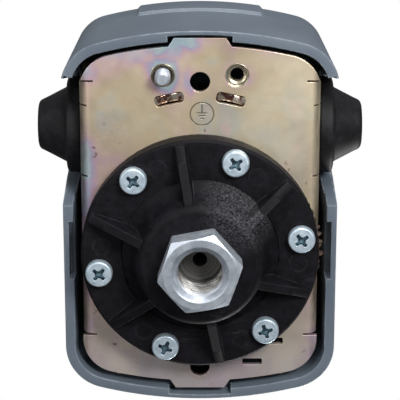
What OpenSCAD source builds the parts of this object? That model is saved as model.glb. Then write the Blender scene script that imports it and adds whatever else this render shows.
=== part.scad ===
// Pressure switch with a female-thread pressure port, a clamped diaphragm, a spring-loaded lever
// and a two-pole contact block under a lift-off cover. Millimetres.
// Origin: on the port's axis, where the mouth's cone meets the bore. +Z runs up through the flange
// and the plate into the cover, -Y is the side of the cable glands and the contact block, and X is
// across the switch.

/* [Pressure port] */
// Width of the hexagon across its flats
port_af = 19; // [17:0.5:22]
// Angle of one of the hexagon's corners from +X
port_turn = 49; // [0:1:60]
// Height of the hexagon that stands out of the flange
port_hex_h = 6.5; // [5:0.5:10]
// Minor diameter of the female pipe thread
port_bore_d = 11.44; // [9:0.01:12.5]
// Diameter of the chamfer at the port's mouth
port_mouth_d = 14.6; // [13.5:0.1:15.5]
// Depth of the threaded bore
port_depth = 12.3; // [9:0.1:14]
// Diameter of the inlet orifice behind the thread
orifice_d = 3.6; // [1.5:0.1:5]
// Diameter of the fitting's round shank inside the flange
port_shank_d = 17; // [15.5:0.5:18]
// Thickness of the fitting's end wall that holds the orifice
port_end_t = 6; // [4:0.1:7]

/* [Flange] */
// Outer diameter of the pressure flange
flange_d = 61.6; // [58:0.1:66]
// Thickness of the flange's outer ring
ring_t = 5.1; // [4.5:0.1:8]
// Height of the flange's dome above its ring
dome_h = 9.3; // [7:0.1:12]
// Diameter of the dome at its foot
dome_d = 35; // [33:0.5:36]
// Outer diameter of the groove round the dome
groove_d = 41; // [39:0.5:44]
// Depth of the groove below the ring's face
groove_depth = 1.5; // [0.5:0.1:2]
// Number of radial ribs, and of flange screws
rib_count = 6; // [6]
// Width of a rib
rib_w = 2.4; // [1.5:0.1:4]
// Height of a rib above the ring's face
rib_h = 1.2; // [0.5:0.1:3]
// Diameter of the pressure chamber under the diaphragm
chamber_d = 39; // [30:0.5:40]
// Depth of the pressure chamber
chamber_depth = 0.8; // [0.4:0.1:1.2]

/* [Flange screws] */
// Pitch circle diameter of the flange screws
screw_pcd = 53; // [50:0.1:54]
// Angle of the first flange screw from +X
screw_angle = 50; // [45:1:55]
// Shank diameter of a flange screw
screw_d = 3.8; // [3:0.1:4]
// Head diameter of a flange screw
screw_head_d = 7; // [6:0.1:7.5]
// Head height of a flange screw
screw_head_h = 2.4; // [2:0.1:2.8]
// Span of the cross recess
cross_w = 3.6; // [2.5:0.1:4]

/* [Diaphragm and piston] */
// Thickness of the diaphragm's clamped edge
diaphragm_t = 2.2; // [1.5:0.1:3]
// Thickness of the diaphragm's membrane
membrane_t = 0.8; // [0.5:0.1:1.2]
// Diameter of the opening in the plate for the piston
piston_hole_d = 28; // [26:0.1:29]
// Height of the piston's disc
piston_disc_h = 3.6; // [2.5:0.1:4]
// Diameter of the piston's nose
nose_d = 10; // [6:0.5:12]
// Radius of the nose's rounded top
nose_r = 20; // [15:1:40]
// Full travel of the piston
piston_travel = 1.2; // [0.6:0.1:1.5]

/* [Base plate] */
// Width of the plate over its folded side walls
plate_w = 62; // [58:0.5:75]
// Distance from the port's axis to the plate's front edge
plate_front = 53.5; // [51:0.5:58]
// Distance from the port's axis to the plate's back edge
plate_back = 38; // [37:0.5:44]
// Sheet thickness
plate_t = 1.5; // [1:0.1:2]
// Height of the side walls above the plate's outer face
side_wall_h = 24.4; // [22:0.1:28]
// Inner bend radius of the side walls
bend_r = 1.5; // [0.5:0.1:2.5]
// Start of the side walls, ahead of the port's axis
fold_front = 44; // [40:0.5:46]
// End of the side walls, behind the port's axis
fold_back = 24.5; // [20:0.5:26]
// Radius of the plate's corners
plate_corner_r = 9.5; // [6:0.5:12]
// Radius of the arched ends
arch_r = 108; // [90:1:140]
// How far the end tabs stand out
tab_out = 2; // [1:0.1:2.2]
// Width of the front tab at its foot
front_tab_w = 16.2; // [12:0.1:20]
// Width of the back tab at its foot
back_tab_w = 16; // [12:0.1:20]
// Diameter of the two mounting holes
mount_hole_d = 5.2; // [4:0.1:6]
// Distance between the two mounting holes
mount_pitch = 78.1; // [76:0.1:80]
// Distance of the back mounting hole from the port's axis
mount_back = 34; // [32:0.5:35]
// Distance of each earth hole from the middle
earth_x = 9.5; // [8:0.1:12]
// Distance of the earth holes ahead of the port's axis
earth_y = 45.8; // [45:0.1:47]
// Bore of the extruded earth holes
earth_bore_d = 3.4; // [2.8:0.1:3.6]
// Height of the extruded collars
collar_h = 2; // [1:0.1:3]

/* [Lever] */
// Distance of the lever's pivot behind the port's axis
pivot_y = 31; // [30:0.5:32]
// Thickness of the lever's sheet
lever_t = 2; // [1.5:0.1:2.5]
// Width of the lever
lever_w = 40; // [38:0.5:42]
// Diameter of the pivot pin
pin_d = 4; // [3:0.1:5]
// Height of the pin's axis above the lever's upper face
pin_rise = 2.5; // [2:0.1:4]
// Width of each of the lever's two fork arms
fork_w = 4; // [3:0.1:5]
// Clear width between the fork arms
fork_gap = 12; // [11:0.5:13]

/* [Pressure setting] */
// Diameter of the range stud
range_stud_d = 6; // [5:0.2:7.4]
// Outer diameter of the range spring
range_spring_d = 14.4; // [12:0.1:15]
// Wire diameter of the range spring
range_wire_d = 2.2; // [1.5:0.1:2.4]
// Length of the range spring as set
range_spring_l = 19.6; // [17:0.1:21]
// Sideways place of the differential stud
diff_x = 14; // [13.5:0.1:14.5]
// Distance of the differential stud behind the port's axis
diff_y = 12; // [11:0.1:12.5]
// Diameter of the differential stud
diff_stud_d = 4; // [3:0.5:5]
// Outer diameter of the differential spring
diff_spring_d = 8.4; // [7.5:0.1:9]
// Wire diameter of the differential spring
diff_wire_d = 1.2; // [0.8:0.1:1.4]
// Length of the differential spring as set
diff_spring_l = 14; // [12:0.1:16]
// Travel of each adjusting nut either way
adjust_travel = 2; // [1:0.1:2]

/* [Contact block] */
// Width of the contact block
block_w = 42; // [41:0.5:44]
// Depth of the contact block, front to back
block_depth = 14.2; // [14:0.1:14.6]
// Distance of the block's back face ahead of the port's axis
block_back = 23; // [23:0.1:23.4]
// Height of the block's deck above the plate's inner face
block_h = 18.4; // [18:0.1:22.2]
// Distance from one terminal to the next
terminal_pitch = 9; // [8.5:0.1:9.5]
// Width of a contact strip
strip_w = 6; // [5:0.1:6.4]
// Thickness of a contact strip
strip_t = 1; // [0.6:0.1:1.2]
// Diameter of a terminal screw
terminal_d = 3.4; // [2.5:0.1:4]

/* [Cable glands] */
// Distance of the glands' axis ahead of the port's axis
gland_y = 28.4; // [28:0.1:28.8]
// Height of the glands' axis above the plate's outer face
gland_rise = 17.6; // [17:0.1:19]
// Diameter of a gland's neck in the side wall
gland_neck_d = 19; // [17:0.1:20]
// Diameter of a gland's outer collar
gland_collar_d = 25.5; // [24:0.1:26.5]
// Thickness of a gland's outer collar
gland_collar_t = 3.9; // [2:0.1:4.2]
// Length of a gland's cone beyond its collar
gland_cone_l = 7.7; // [6:0.1:10]
// Diameter of the cone at its foot
gland_cone_d = 20; // [18:0.1:22]
// Diameter of the cone's blind nose
gland_nose_d = 12.5; // [10:0.1:14]
// Wall of the rubber cone
gland_wall = 1.6; // [1.2:0.1:2.2]

/* [Cover] */
// Height of the cover from its rim to its top
cover_h = 47; // [46:0.2:57]
// Wall thickness of the cover
cover_wall = 2.7; // [2:0.1:3.2]
// Draft of each wall from the rim to the top
cover_draft = 1.5; // [0.5:0.1:2]
// Radius of the cover's corners
cover_corner_r = 12; // [10:0.5:14]
// Edge radius round the cover's top
cover_edge_r = 4; // [2:0.5:6]
// How far the rim reaches past the plate's outer face
rim_overlap = 1.1; // [0.5:0.1:2]
// Width of the gland notches at the rim
notch_w = 33.8; // [31:0.1:36]
// Radius of the gland notches' arch
notch_r = 14.3; // [13.6:0.1:15]
// Diameter of the cover screw
cover_screw_d = 3.24; // [2.6:0.01:4]
// Distance of the cover screw ahead of the port's axis
cover_screw_y = 18.5; // [18.4:0.1:18.8]

/* [Fits] */
// Gap that keeps moving pieces clear
gap = 0.3; // [0.2:0.05:0.5]
// Radial clearance of a running fit
run = 0.05; // [0.02:0.01:0.1]
// Radial clearance of a fixed fit
fix = 0.02; // [0.01:0.01:0.04]
// Gap between the plate and the cover along the sides
side_gap = 1.95; // [1:0.05:3]
// Gap between the plate and the cover at the front
front_gap = 1.4; // [1:0.1:3]
// Gap between the plate and the cover at the back
back_gap = 2.1; // [1:0.1:3]

/* [Hidden] */
$fn = 96;

// Overlap of a cutting tool past the face that it cuts
cut = 1;
// Thickness of the layers that shape the cover
layer = 0.01;
// Stack of heights from the port's mouth up
mouth_h = (port_mouth_d - port_bore_d) / 2;
z_mouth = -mouth_h;
z_dome = z_mouth + port_hex_h;
z_ring = z_dome + dome_h;
z_flange_back = z_ring + ring_t;
z_plate = z_flange_back + diaphragm_t;
z_floor = z_plate + plate_t;
z_rim = z_plate - rim_overlap;
z_top = z_rim + cover_h;
z_groove = z_ring + groove_depth;
// Drop of a rib's inner end below the dome's top
rib_drop = 1.2;
z_chamber = z_flange_back - chamber_depth;
z_membrane = z_flange_back + (diaphragm_t - membrane_t) / 2;
z_piston = z_membrane + membrane_t + gap / 2;
z_nose = z_piston + piston_disc_h + 2.8;
z_lever = z_nose + gap / 2;
z_lever_top = z_lever + lever_t;
z_pin = z_lever_top + pin_rise;
z_gland = z_plate + gland_rise;

// Shank of the port fitting in the flange
port_shank_end = z_mouth + port_depth + port_end_t;
port_groove_z = z_dome + 3.5;
port_groove_w = 2;
port_groove_d = port_shank_d - 2;

// Flange screws
screw_hole_d = screw_d + 0.6;
screw_tip = 2;
cross_turns = [22, 4, 52, 78, 34, 63];

// Plate
plate_hw = plate_w / 2;
inner_hw = plate_hw - plate_t;
outer_bend_r = bend_r + plate_t;
ear_t = plate_t;
ear_x = lever_w / 2 + 2 * gap;
ear_w = pin_d + 6;
ear_top = z_pin + pin_d / 2 + 2.2;
earth_ring_d = earth_bore_d + 2.8;
collar_d = earth_bore_d + 2.2;
earth_tip = 4.9;
earth_clamp_t = 1;
earth_clamp_d = 8;
mount_front = mount_pitch - mount_back;
lance_x = 7.9;
lance_y = 39.5;
lance_l = 7.6;
lance_w = 2.9;
lance_tilt = 12;
lance_strip_w = lance_w - 0.5;
lance_strip_t = plate_t * 0.8;
lance_rise = 1.5;
lance_slope = 2.2;
slot_w = 1.7;
slot_l = 5.2;
slot_a = [13.9, 32.5];
slot_b = [19.4, 26.6];

// Lever
lever_front = 9;
lever_back = pivot_y + ear_w / 2;
fork_reach = block_back - 2 * gap;
lever_angle = asin(piston_travel / pivot_y);
clip_t = 0.8;
clip_d = pin_d + 3;
clip_core_d = pin_d - 0.8;
pin_half = ear_x + ear_t + clip_t + 1.2;

// Springs, seats and nuts
seat_t = 2;
range_nut_af = range_stud_d + 4;
// Land between the piston's hole and the neck of the range stud
stud_land = 0.5;
range_y = piston_hole_d / 2 + stud_land + (range_stud_d - 1) / 2;
range_nut_h = 5;
diff_nut_af = diff_stud_d + 3;
diff_nut_h = 3.2;
range_top = z_lever_top + range_spring_l + range_nut_h + seat_t + adjust_travel + 3 * gap;
diff_top = z_lever_top + diff_spring_l + diff_nut_h + seat_t + adjust_travel + 3 * gap;
range_turns = 6;
diff_turns = 6;
contact_turns = 5;

// Contact block
z_deck = z_floor + block_h;
block_front = block_back + block_depth;
terminal_y = block_back + 10.4;
contact_y = block_back + 3;
terminals = [-1.5, -0.5, 0.5, 1.5];
poles = [-1, 1];
strip_back = block_back + 0.6;
strip_front = block_front - 0.6;
button_d = 4;
button_t = 0.8;
contact_gap = 0.1;
bridge_t = 1;
bridge_w = 5;
post_d = 2.6;
post_head_d = 5;
post_head_t = 1;
contact_spring_l = 3.4;
contact_wire_d = 0.45;
contact_spring_d = 4.3;
fork_arm = pivot_y + fork_reach;
carrier_travel = fork_arm * lever_angle * PI / 180;
z_carrier = z_lever_top + gap;
z_bar = z_carrier + 1.8;
bar_h = 4.4;
bar_w = 3 * terminal_pitch;
tunnel_w = bar_w + 4 * gap;
tunnel_top = z_bar + bar_h + carrier_travel + 2 * gap;
tunnel_depth = 5.6;
z_button = z_deck + strip_t + button_t;
z_bridge = z_button + contact_gap + button_t;
z_post_head = z_bridge + bridge_t + contact_spring_l;
clamp_t = 0.9;
terminal_head_d = 6.2;
terminal_head_h = 2.2;
barrier_h = 7;
barrier_t = 1.2;
foot_t = 2;

// Glands
gland_collar_x = plate_hw + 0.2;
gland_cone_x = gland_collar_x + gland_collar_t;
gland_end_x = gland_cone_x + gland_cone_l;
gland_inner_t = 2;
gland_inner_x = inner_hw - 0.2;
gland_inner_d = gland_neck_d + 4;
gland_nose_r = 1.2;

// Cover
cover_hw = plate_hw + side_gap + cover_wall;
cover_front = plate_front + front_gap + cover_wall;
cover_back = plate_back + back_gap + cover_wall;
pad_w = 33.5;
pad_out = 0.85;
pad_h = 12;
pocket_depth = 1.2;
pocket_l = 15.6;
pocket_h = 5;
pocket_y = 0.8;
rim_notch_clear = 0.3;
rim_notch_depth = 6;
rim_notch_wall = 1.2;
screw_head_clear = 0.6;
cover_head_d = 8;
cover_head_h = 2.6;
cover_head_sink = 3;
cover_boss_d = cover_head_d + 4.5;
z_cover_head = z_top - cover_head_sink;
pillar_d = 7;
pillar_collar_d = 7.6;
pillar_collar_t = 1.4;
washer_t = 0.8;
washer_d = 7.4;
pillar_top = z_cover_head - 5;
z_washer = pillar_top + gap;
boss_bottom = z_washer + washer_t + gap;
pillar_bore_depth = 16;
cover_screw_l = 14;

// Points of an arc about [cx, cy] from angle a0 to a1
function arc(cx, cy, r, a0, a1, n) =
    [for (i = [0 : n]) [cx + r * cos(a0 + (a1 - a0) * i / n), cy + r * sin(a0 + (a1 - a0) * i / n)]];

// Where a corner circle of radius rc touches an arched end: how far its centre lies
// behind the arch's apex, and the angle of the touching point
function corner_in(hw, ra, rc) = ra - sqrt(pow(ra - rc, 2) - pow(hw - rc, 2));
function corner_angle(hw, ra, rc) = acos((hw - rc) / (ra - rc));

// Outline with straight sides, round corners and arched ends; yf and yb are its front and back
function outline(hw, yf, yb, ra, rc, n) =
    let (cy = corner_in(hw, ra, rc), a = corner_angle(hw, ra, rc))
    concat(
        arc(hw - rc, yb - cy, rc, 0, a, n),
        arc(0, yb - ra, ra, a, 180 - a, n),
        arc(rc - hw, yb - cy, rc, 180 - a, 180, n),
        arc(rc - hw, cy - yf, rc, 180, 180 + a, n),
        arc(0, ra - yf, ra, 180 + a, 360 - a, n),
        arc(hw - rc, cy - yf, rc, 360 - a, 360, n));

// Closed tube of radius wr along a helix of radius r, from height z0 to z1
module coil(r, wr, z0, z1, turns, steps, sides) {
    rings = turns * steps;
    rise = (z1 - z0 - 2 * wr) / rings;
    points = [for (i = [0 : rings]) for (j = [0 : sides - 1])
        let (a = 360 * i / steps, b = 360 * j / sides, q = r + wr * cos(b))
        [q * cos(a), q * sin(a), z0 + wr + rise * i + wr * sin(b)]];
    walls = [for (i = [0 : rings - 1]) for (j = [0 : sides - 1])
        let (k = (j + 1) % sides)
        [i * sides + j, (i + 1) * sides + j, (i + 1) * sides + k, i * sides + k]];
    start = [[for (j = [0 : sides - 1]) j]];
    end = [[for (j = [sides - 1 : -1 : 0]) rings * sides + j]];
    polyhedron(points, concat(start, walls, end), convexity = 10);
}

// Children repeated round the flange at every screw
module at_screws() {
    for (i = [0 : rib_count - 1])
        rotate(screw_angle + i * 360 / rib_count) translate([screw_pcd / 2, 0, 0]) children();
}

// Upright hexagonal prism across flats af
module hexagon(af, h) {
    cylinder(d = af / cos(30), h = h, $fn = 6);
}

// Pan head with its flat face down at the origin and a cross recess in its top
module pan_head(d, h, cross) {
    side_h = h * 0.55;
    edge_r = h - side_h;
    difference() {
        rotate_extrude()
            polygon(concat([[0, 0], [d / 2, 0]], arc(d / 2 - edge_r, side_h, edge_r, 0, 90, 8), [[0, h]]));
        for (turn = [0, 90])
            rotate(turn) translate([-cross / 2, -cross / 7, h / 2]) cube([cross, cross / 3.5, h]);
    }
}

// Side-wall channel section of the plate, in X and height
module channel_section() {
    r = outer_bend_r;
    q = bend_r;
    polygon(concat(
        [[plate_hw, side_wall_h]], [[inner_hw, side_wall_h]],
        arc(inner_hw - q, plate_t + q, q, 0, -90, 6),
        arc(q - inner_hw, plate_t + q, q, -90, -180, 6),
        [[-inner_hw, side_wall_h]], [[-plate_hw, side_wall_h]],
        arc(r - plate_hw, r, r, 180, 270, 6),
        arc(plate_hw - r, r, r, 270, 360, 6)));
}

// End tab of the plate, wider at its foot
module end_tab(w) {
    linear_extrude(plate_t)
        polygon([[-w / 2, -5], [w / 2, -5], [w / 2, 0], [w / 2 - 1.5, tab_out],
            [1.5 - w / 2, tab_out], [-w / 2, 0]]);
}

// Upright ear of the plate, from x0 towards +X, with the hole for the pivot pin
module pivot_ear(x0) {
    difference() {
        translate([x0, pivot_y - ear_w / 2, z_plate + layer])
            cube([ear_t, ear_w, ear_top - z_plate - layer]);
        translate([x0 - cut, pivot_y, z_pin]) rotate([0, 90, 0])
            cylinder(d = pin_d + 2 * fix, h = ear_t + 2 * cut);
    }
}

// Lanced slot, and the strip that is pushed up inside it and joined at both ends
module lance_slot() {
    translate([-lance_l / 2, -lance_w / 2, z_plate - cut]) cube([lance_l, lance_w, plate_t + 2 * cut]);
}

module lance_strip() {
    foot = lance_l / 2;
    low = z_plate + layer;
    high = low + lance_strip_t;
    translate([0, lance_strip_w / 2, 0]) rotate([90, 0, 0]) linear_extrude(lance_strip_w)
        polygon([[-foot - cut, low], [-foot, low], [lance_slope - foot, low + lance_rise],
            [foot - lance_slope, low + lance_rise], [foot, low], [foot + cut, low],
            [foot + cut, high], [foot, high], [foot - lance_slope, high + lance_rise],
            [lance_slope - foot, high + lance_rise], [-foot, high], [-foot - cut, high]]);
}

module at_lances() {
    for (side = [-1, 1])
        translate([side * lance_x, -lance_y, 0]) rotate(side * lance_tilt) children();
}

module base_plate() {
    color("burlywood") difference() {
        union() {
            translate([0, fold_back, z_plate]) rotate([90, 0, 0])
                linear_extrude(fold_back + fold_front) channel_section();
            difference() {
                translate([0, 0, z_plate]) linear_extrude(plate_t)
                    polygon(outline(plate_hw, plate_front, plate_back, arch_r, plate_corner_r, 12));
                translate([-plate_w, -fold_front, z_plate - cut])
                    cube([2 * plate_w, fold_front + fold_back, plate_t + 2 * cut]);
            }
            translate([0, plate_back, z_plate]) end_tab(back_tab_w);
            translate([0, -plate_front, z_plate]) rotate(180) end_tab(front_tab_w);
            for (side = [-1, 1])
                translate([side * earth_x, -earth_y, z_plate])
                    cylinder(d = collar_d, h = plate_t + collar_h);
            pivot_ear(ear_x);
            pivot_ear(-ear_x - ear_t);
        }
        translate([0, 0, z_plate - cut]) cylinder(d = piston_hole_d, h = plate_t + 2 * cut);
        for (y = [mount_back, -mount_front])
            translate([0, y, z_plate - cut]) cylinder(d = mount_hole_d, h = plate_t + 2 * cut);
        for (side = [-1, 1]) translate([side * earth_x, -earth_y, z_plate]) {
            translate([0, 0, -cut]) cylinder(d = earth_bore_d, h = plate_t + collar_h + 2 * cut);
            translate([0, 0, -layer]) cylinder(d1 = earth_ring_d, d2 = earth_bore_d, h = 1);
        }
        at_screws() translate([0, 0, z_plate - cut]) cylinder(d = screw_d + 2 * fix, h = plate_t + 2 * cut);
        at_lances() lance_slot();
        for (p = [slot_a, slot_b])
            translate([p[0] - slot_l / 2, p[1] - slot_w / 2, z_plate - cut])
                cube([slot_l, slot_w, plate_t + 2 * cut]);
        translate([0, range_y, z_plate - cut])
            cylinder(d = range_stud_d - 1 + 2 * fix, h = plate_t + 2 * cut);
        translate([diff_x, diff_y, z_plate - cut])
            cylinder(d = diff_stud_d - 1 + 2 * fix, h = plate_t + 2 * cut);
        translate([0, -cover_screw_y, z_plate - cut])
            cylinder(d = pillar_d - 3 + 2 * fix, h = plate_t + 2 * cut);
        gland_slots();
    }
    color("burlywood") at_lances() lance_strip();
}

// Openings of the side walls for the glands' necks, and the relief nicks beside them
module gland_slots() {
    slot_r = gland_neck_d / 2 + gap / 2;
    nick_w = 0.5;
    translate([-plate_w, -gland_y, z_gland]) rotate([0, 90, 0]) cylinder(r = slot_r, h = 2 * plate_w);
    translate([-plate_w, -gland_y - slot_r, z_gland]) cube([2 * plate_w, 2 * slot_r, side_wall_h]);
    for (side = [-1, 1]) for (edge = [-1, 1])
        translate([side * plate_hw - plate_t - gap,
            edge * (slot_r - nick_w / 2) - gland_y - nick_w / 2, z_floor])
            cube([2 * (plate_t + gap), nick_w, gland_rise - plate_t]);
}

// Half section of the flange, in radius and height
module flange_section() {
    top_r = port_af / 2 + 4.5;
    shoulder = (dome_d / 2 - top_r) * 0.6;
    polygon(concat(
        [[orifice_d / 2, z_chamber], [orifice_d / 2, port_shank_end + fix]],
        [[port_shank_d / 2 + fix, port_shank_end + fix]],
        [[port_shank_d / 2 + fix, port_groove_z + port_groove_w]],
        [[port_groove_d / 2 + fix, port_groove_z + port_groove_w]],
        [[port_groove_d / 2 + fix, port_groove_z]],
        [[port_shank_d / 2 + fix, port_groove_z], [port_shank_d / 2 + fix, z_dome]],
        arc(top_r, z_dome + shoulder, shoulder, -90, -20, 10),
        [[dome_d / 2, z_groove], [groove_d / 2, z_groove], [groove_d / 2, z_ring]],
        [[flange_d / 2 - 0.6, z_ring], [flange_d / 2, z_ring + 0.6], [flange_d / 2, z_flange_back]],
        [[chamber_d / 2, z_flange_back], [chamber_d / 2, z_chamber]]));
}

// Upright rib from the dome to near the flange's edge, along +X
module flange_rib() {
    foot = z_ring + 1;
    reach = flange_d / 2 - 1.8;
    rotate([90, 0, 0]) translate([0, 0, -rib_w / 2]) linear_extrude(rib_w)
        polygon([[dome_d / 2 - 3, foot], [dome_d / 2 - 3, z_dome + rib_drop],
            [dome_d / 2 - 1, z_dome + rib_drop], [reach, z_ring - rib_h], [reach, foot],
            [groove_d / 2 + 1, foot], [groove_d / 2 + 1, z_groove + 0.5],
            [dome_d / 2 - 1, z_groove + 0.5]]);
}

module flange() {
    color("#201f23") difference() {
        union() {
            rotate_extrude() flange_section();
            for (i = [0 : rib_count - 1]) rotate(screw_angle - 30 + i * 360 / rib_count) flange_rib();
        }
        at_screws() translate([0, 0, z_ring - cut]) cylinder(d = screw_hole_d, h = 2 * ring_t);
    }
}

module port_fitting() {
    chamfer = 0.9;
    face_r = port_af / 2 - 0.3;
    corner_r = port_af / cos(30) / 2 + 0.1;
    color("silver") difference() {
        union() {
            intersection() {
                translate([0, 0, z_mouth]) rotate(port_turn) hexagon(port_af, port_hex_h);
                translate([0, 0, z_mouth]) rotate_extrude()
                    polygon([[0, 0], [face_r, 0], [corner_r, chamfer], [corner_r, port_hex_h],
                        [0, port_hex_h]]);
            }
            rotate_extrude() polygon([[0, z_dome - cut], [port_shank_d / 2, z_dome - cut],
                [port_shank_d / 2, port_groove_z], [port_groove_d / 2, port_groove_z],
                [port_groove_d / 2, port_groove_z + port_groove_w],
                [port_shank_d / 2, port_groove_z + port_groove_w],
                [port_shank_d / 2, port_shank_end], [0, port_shank_end]]);
        }
        translate([0, 0, z_mouth - layer])
            cylinder(d1 = port_mouth_d + 2 * layer, d2 = port_bore_d, h = mouth_h + layer);
        translate([0, 0, z_mouth - cut]) cylinder(d = port_bore_d, h = port_depth + cut);
        cylinder(d = orifice_d, h = port_shank_end + cut);
    }
}

module diaphragm() {
    edge_r = flange_d / 2 - gap;
    edge = 0.5;
    low = (diaphragm_t - membrane_t) / 2;
    high = (diaphragm_t + membrane_t) / 2;
    color("#151515") difference() {
        translate([0, 0, z_flange_back]) rotate_extrude()
            polygon([[0, low], [chamber_d / 2 - 5, low], [chamber_d / 2 - 3.5, 0], [edge_r - edge, 0],
                [edge_r, edge], [edge_r, diaphragm_t - edge], [edge_r - edge, diaphragm_t],
                [piston_hole_d / 2 + 1.4, diaphragm_t], [piston_hole_d / 2 + 0.1, high], [0, high]]);
        at_screws() translate([0, 0, z_flange_back - cut])
            cylinder(d = screw_hole_d, h = diaphragm_t + 2 * cut);
    }
}

module flange_screws() {
    color("lightgray") for (i = [0 : rib_count - 1])
        rotate(screw_angle + i * 360 / rib_count) translate([screw_pcd / 2, 0, 0]) {
            translate([0, 0, z_ring]) rotate([180, 0, cross_turns[i]])
                pan_head(screw_head_d, screw_head_h, cross_w);
            translate([0, 0, z_ring - layer]) cylinder(d = screw_d, h = z_floor + screw_tip - z_ring);
        }
}

module piston() {
    rise = nose_r - sqrt(nose_r * nose_r - nose_d * nose_d / 4);
    lean = asin(nose_d / 2 / nose_r);
    disc_r = piston_hole_d / 2 - gap - 0.1;
    edge = 0.8;
    color("ivory") rotate_extrude() polygon(concat(
        [[0, z_piston], [disc_r - edge, z_piston], [disc_r, z_piston + edge]],
        [[disc_r, z_piston + piston_disc_h], [nose_d / 2, z_piston + piston_disc_h]],
        [[nose_d / 2, z_nose - rise]],
        arc(0, z_nose - nose_r, nose_r, 90 - lean, 90, 6)));
}

module lever() {
    arm_x = fork_gap / 2;
    ear_in = lever_w / 2 - lever_t;
    color("lightsteelblue") difference() {
        union() {
            translate([-lever_w / 2, -lever_front, z_lever])
                cube([lever_w, lever_back + lever_front, lever_t]);
            for (x = [arm_x, -arm_x - fork_w])
                translate([x, -fork_reach, z_lever]) cube([fork_w, fork_reach, lever_t]);
            for (x = [ear_in, -lever_w / 2])
                translate([x, pivot_y - ear_w / 2, z_lever]) cube([lever_t, ear_w, ear_top - z_lever]);
        }
        translate([0, range_y, z_lever - cut]) cylinder(d = range_stud_d + 3, h = lever_t + 2 * cut);
        translate([diff_x, diff_y, z_lever - cut]) cylinder(d = diff_stud_d + 2, h = lever_t + 2 * cut);
        translate([-lever_w, pivot_y, z_pin]) rotate([0, 90, 0])
            cylinder(d = pin_d + 2 * run, h = 2 * lever_w);
    }
}

module pivot_pin() {
    groove_x = ear_x + ear_t + gap / 2;
    color("silver") translate([0, pivot_y, z_pin]) rotate([0, 90, 0]) difference() {
        translate([0, 0, -pin_half]) cylinder(d = pin_d, h = 2 * pin_half);
        for (z = [groove_x, -groove_x - clip_t - 0.1]) translate([0, 0, z]) difference() {
            cylinder(d = pin_d + cut, h = clip_t + 0.1);
            translate([0, 0, -cut]) cylinder(d = clip_core_d, h = clip_t + 2 * cut);
        }
    }
}

module pivot_clips() {
    clip_x = ear_x + ear_t + gap / 2 + 0.05;
    color("dimgray") for (x = [clip_x, -clip_x - clip_t])
        translate([x, pivot_y, z_pin]) rotate([0, 90, 0]) difference() {
            cylinder(d = clip_d, h = clip_t);
            translate([0, 0, -cut]) cylinder(d = clip_core_d + 2 * fix, h = clip_t + 2 * cut);
            translate([0, -clip_core_d / 2 + 0.3, -cut]) cube([clip_d, clip_core_d - 0.6, clip_t + 2 * cut]);
        }
}

// Adjusting stud of diameter d up to height top, riveted flush into the plate
module setting_stud(d, top) {
    translate([0, 0, z_plate]) cylinder(d = d - 1, h = plate_t + layer);
    translate([0, 0, z_floor]) cylinder(d = d, h = top - z_floor - 0.8);
    translate([0, 0, top - 0.8 - layer]) cylinder(d1 = d, d2 = d - 1.6, h = 0.8);
}

// Round spring seat with a hub that centres the spring
module spring_seat(d, hole_d, wire_d) {
    hub_d = d - 2 * wire_d - 4 * gap;
    difference() {
        union() {
            cylinder(d = d + 1, h = seat_t);
            translate([0, 0, -1.2]) cylinder(d = hub_d, h = 1.2 + layer);
        }
        translate([0, 0, -1.2 - cut]) cylinder(d = hole_d, h = seat_t + 1.2 + 2 * cut);
    }
}

// Hexagonal adjusting nut with a chamfered crown
module setting_nut(af, h, hole_d) {
    corner_r = af / cos(30) / 2;
    difference() {
        intersection() {
            hexagon(af, h);
            rotate_extrude()
                polygon([[0, 0], [corner_r + 0.1, 0], [corner_r + 0.1, h - 0.8], [af / 2 - 0.2, h], [0, h]]);
        }
        translate([0, 0, -cut]) cylinder(d = hole_d, h = h + 2 * cut);
    }
}

module range_stud() {
    color("silver") translate([0, range_y, 0]) setting_stud(range_stud_d, range_top);
}

module range_spring() {
    color("darkgray") translate([0, range_y, 0])
        coil((range_spring_d - range_wire_d) / 2, range_wire_d / 2, z_lever_top + gap / 2,
            z_lever_top + range_spring_l - gap / 2, range_turns, 18, 10);
}

module range_spring_seat() {
    color("silver") translate([0, range_y, z_lever_top + range_spring_l])
        spring_seat(range_spring_d, range_stud_d + 4 * run, range_wire_d);
}

module range_nut() {
    color("khaki") translate([0, range_y, z_lever_top + range_spring_l + seat_t + run])
        setting_nut(range_nut_af, range_nut_h, range_stud_d + 2 * run);
}

module differential_stud() {
    color("silver") translate([diff_x, diff_y, 0]) setting_stud(diff_stud_d, diff_top);
}

module differential_spring() {
    color("darkgray") translate([diff_x, diff_y, 0])
        coil((diff_spring_d - diff_wire_d) / 2, diff_wire_d / 2, z_lever_top + gap / 2,
            z_lever_top + diff_spring_l - gap / 2, diff_turns, 16, 8);
}

module differential_spring_seat() {
    color("silver") translate([diff_x, diff_y, z_lever_top + diff_spring_l])
        spring_seat(diff_spring_d, diff_stud_d + 4 * run, diff_wire_d);
}

module differential_nut() {
    color("khaki") translate([diff_x, diff_y, z_lever_top + diff_spring_l + seat_t + run])
        setting_nut(diff_nut_af, diff_nut_h, diff_stud_d + 2 * run);
}

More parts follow.
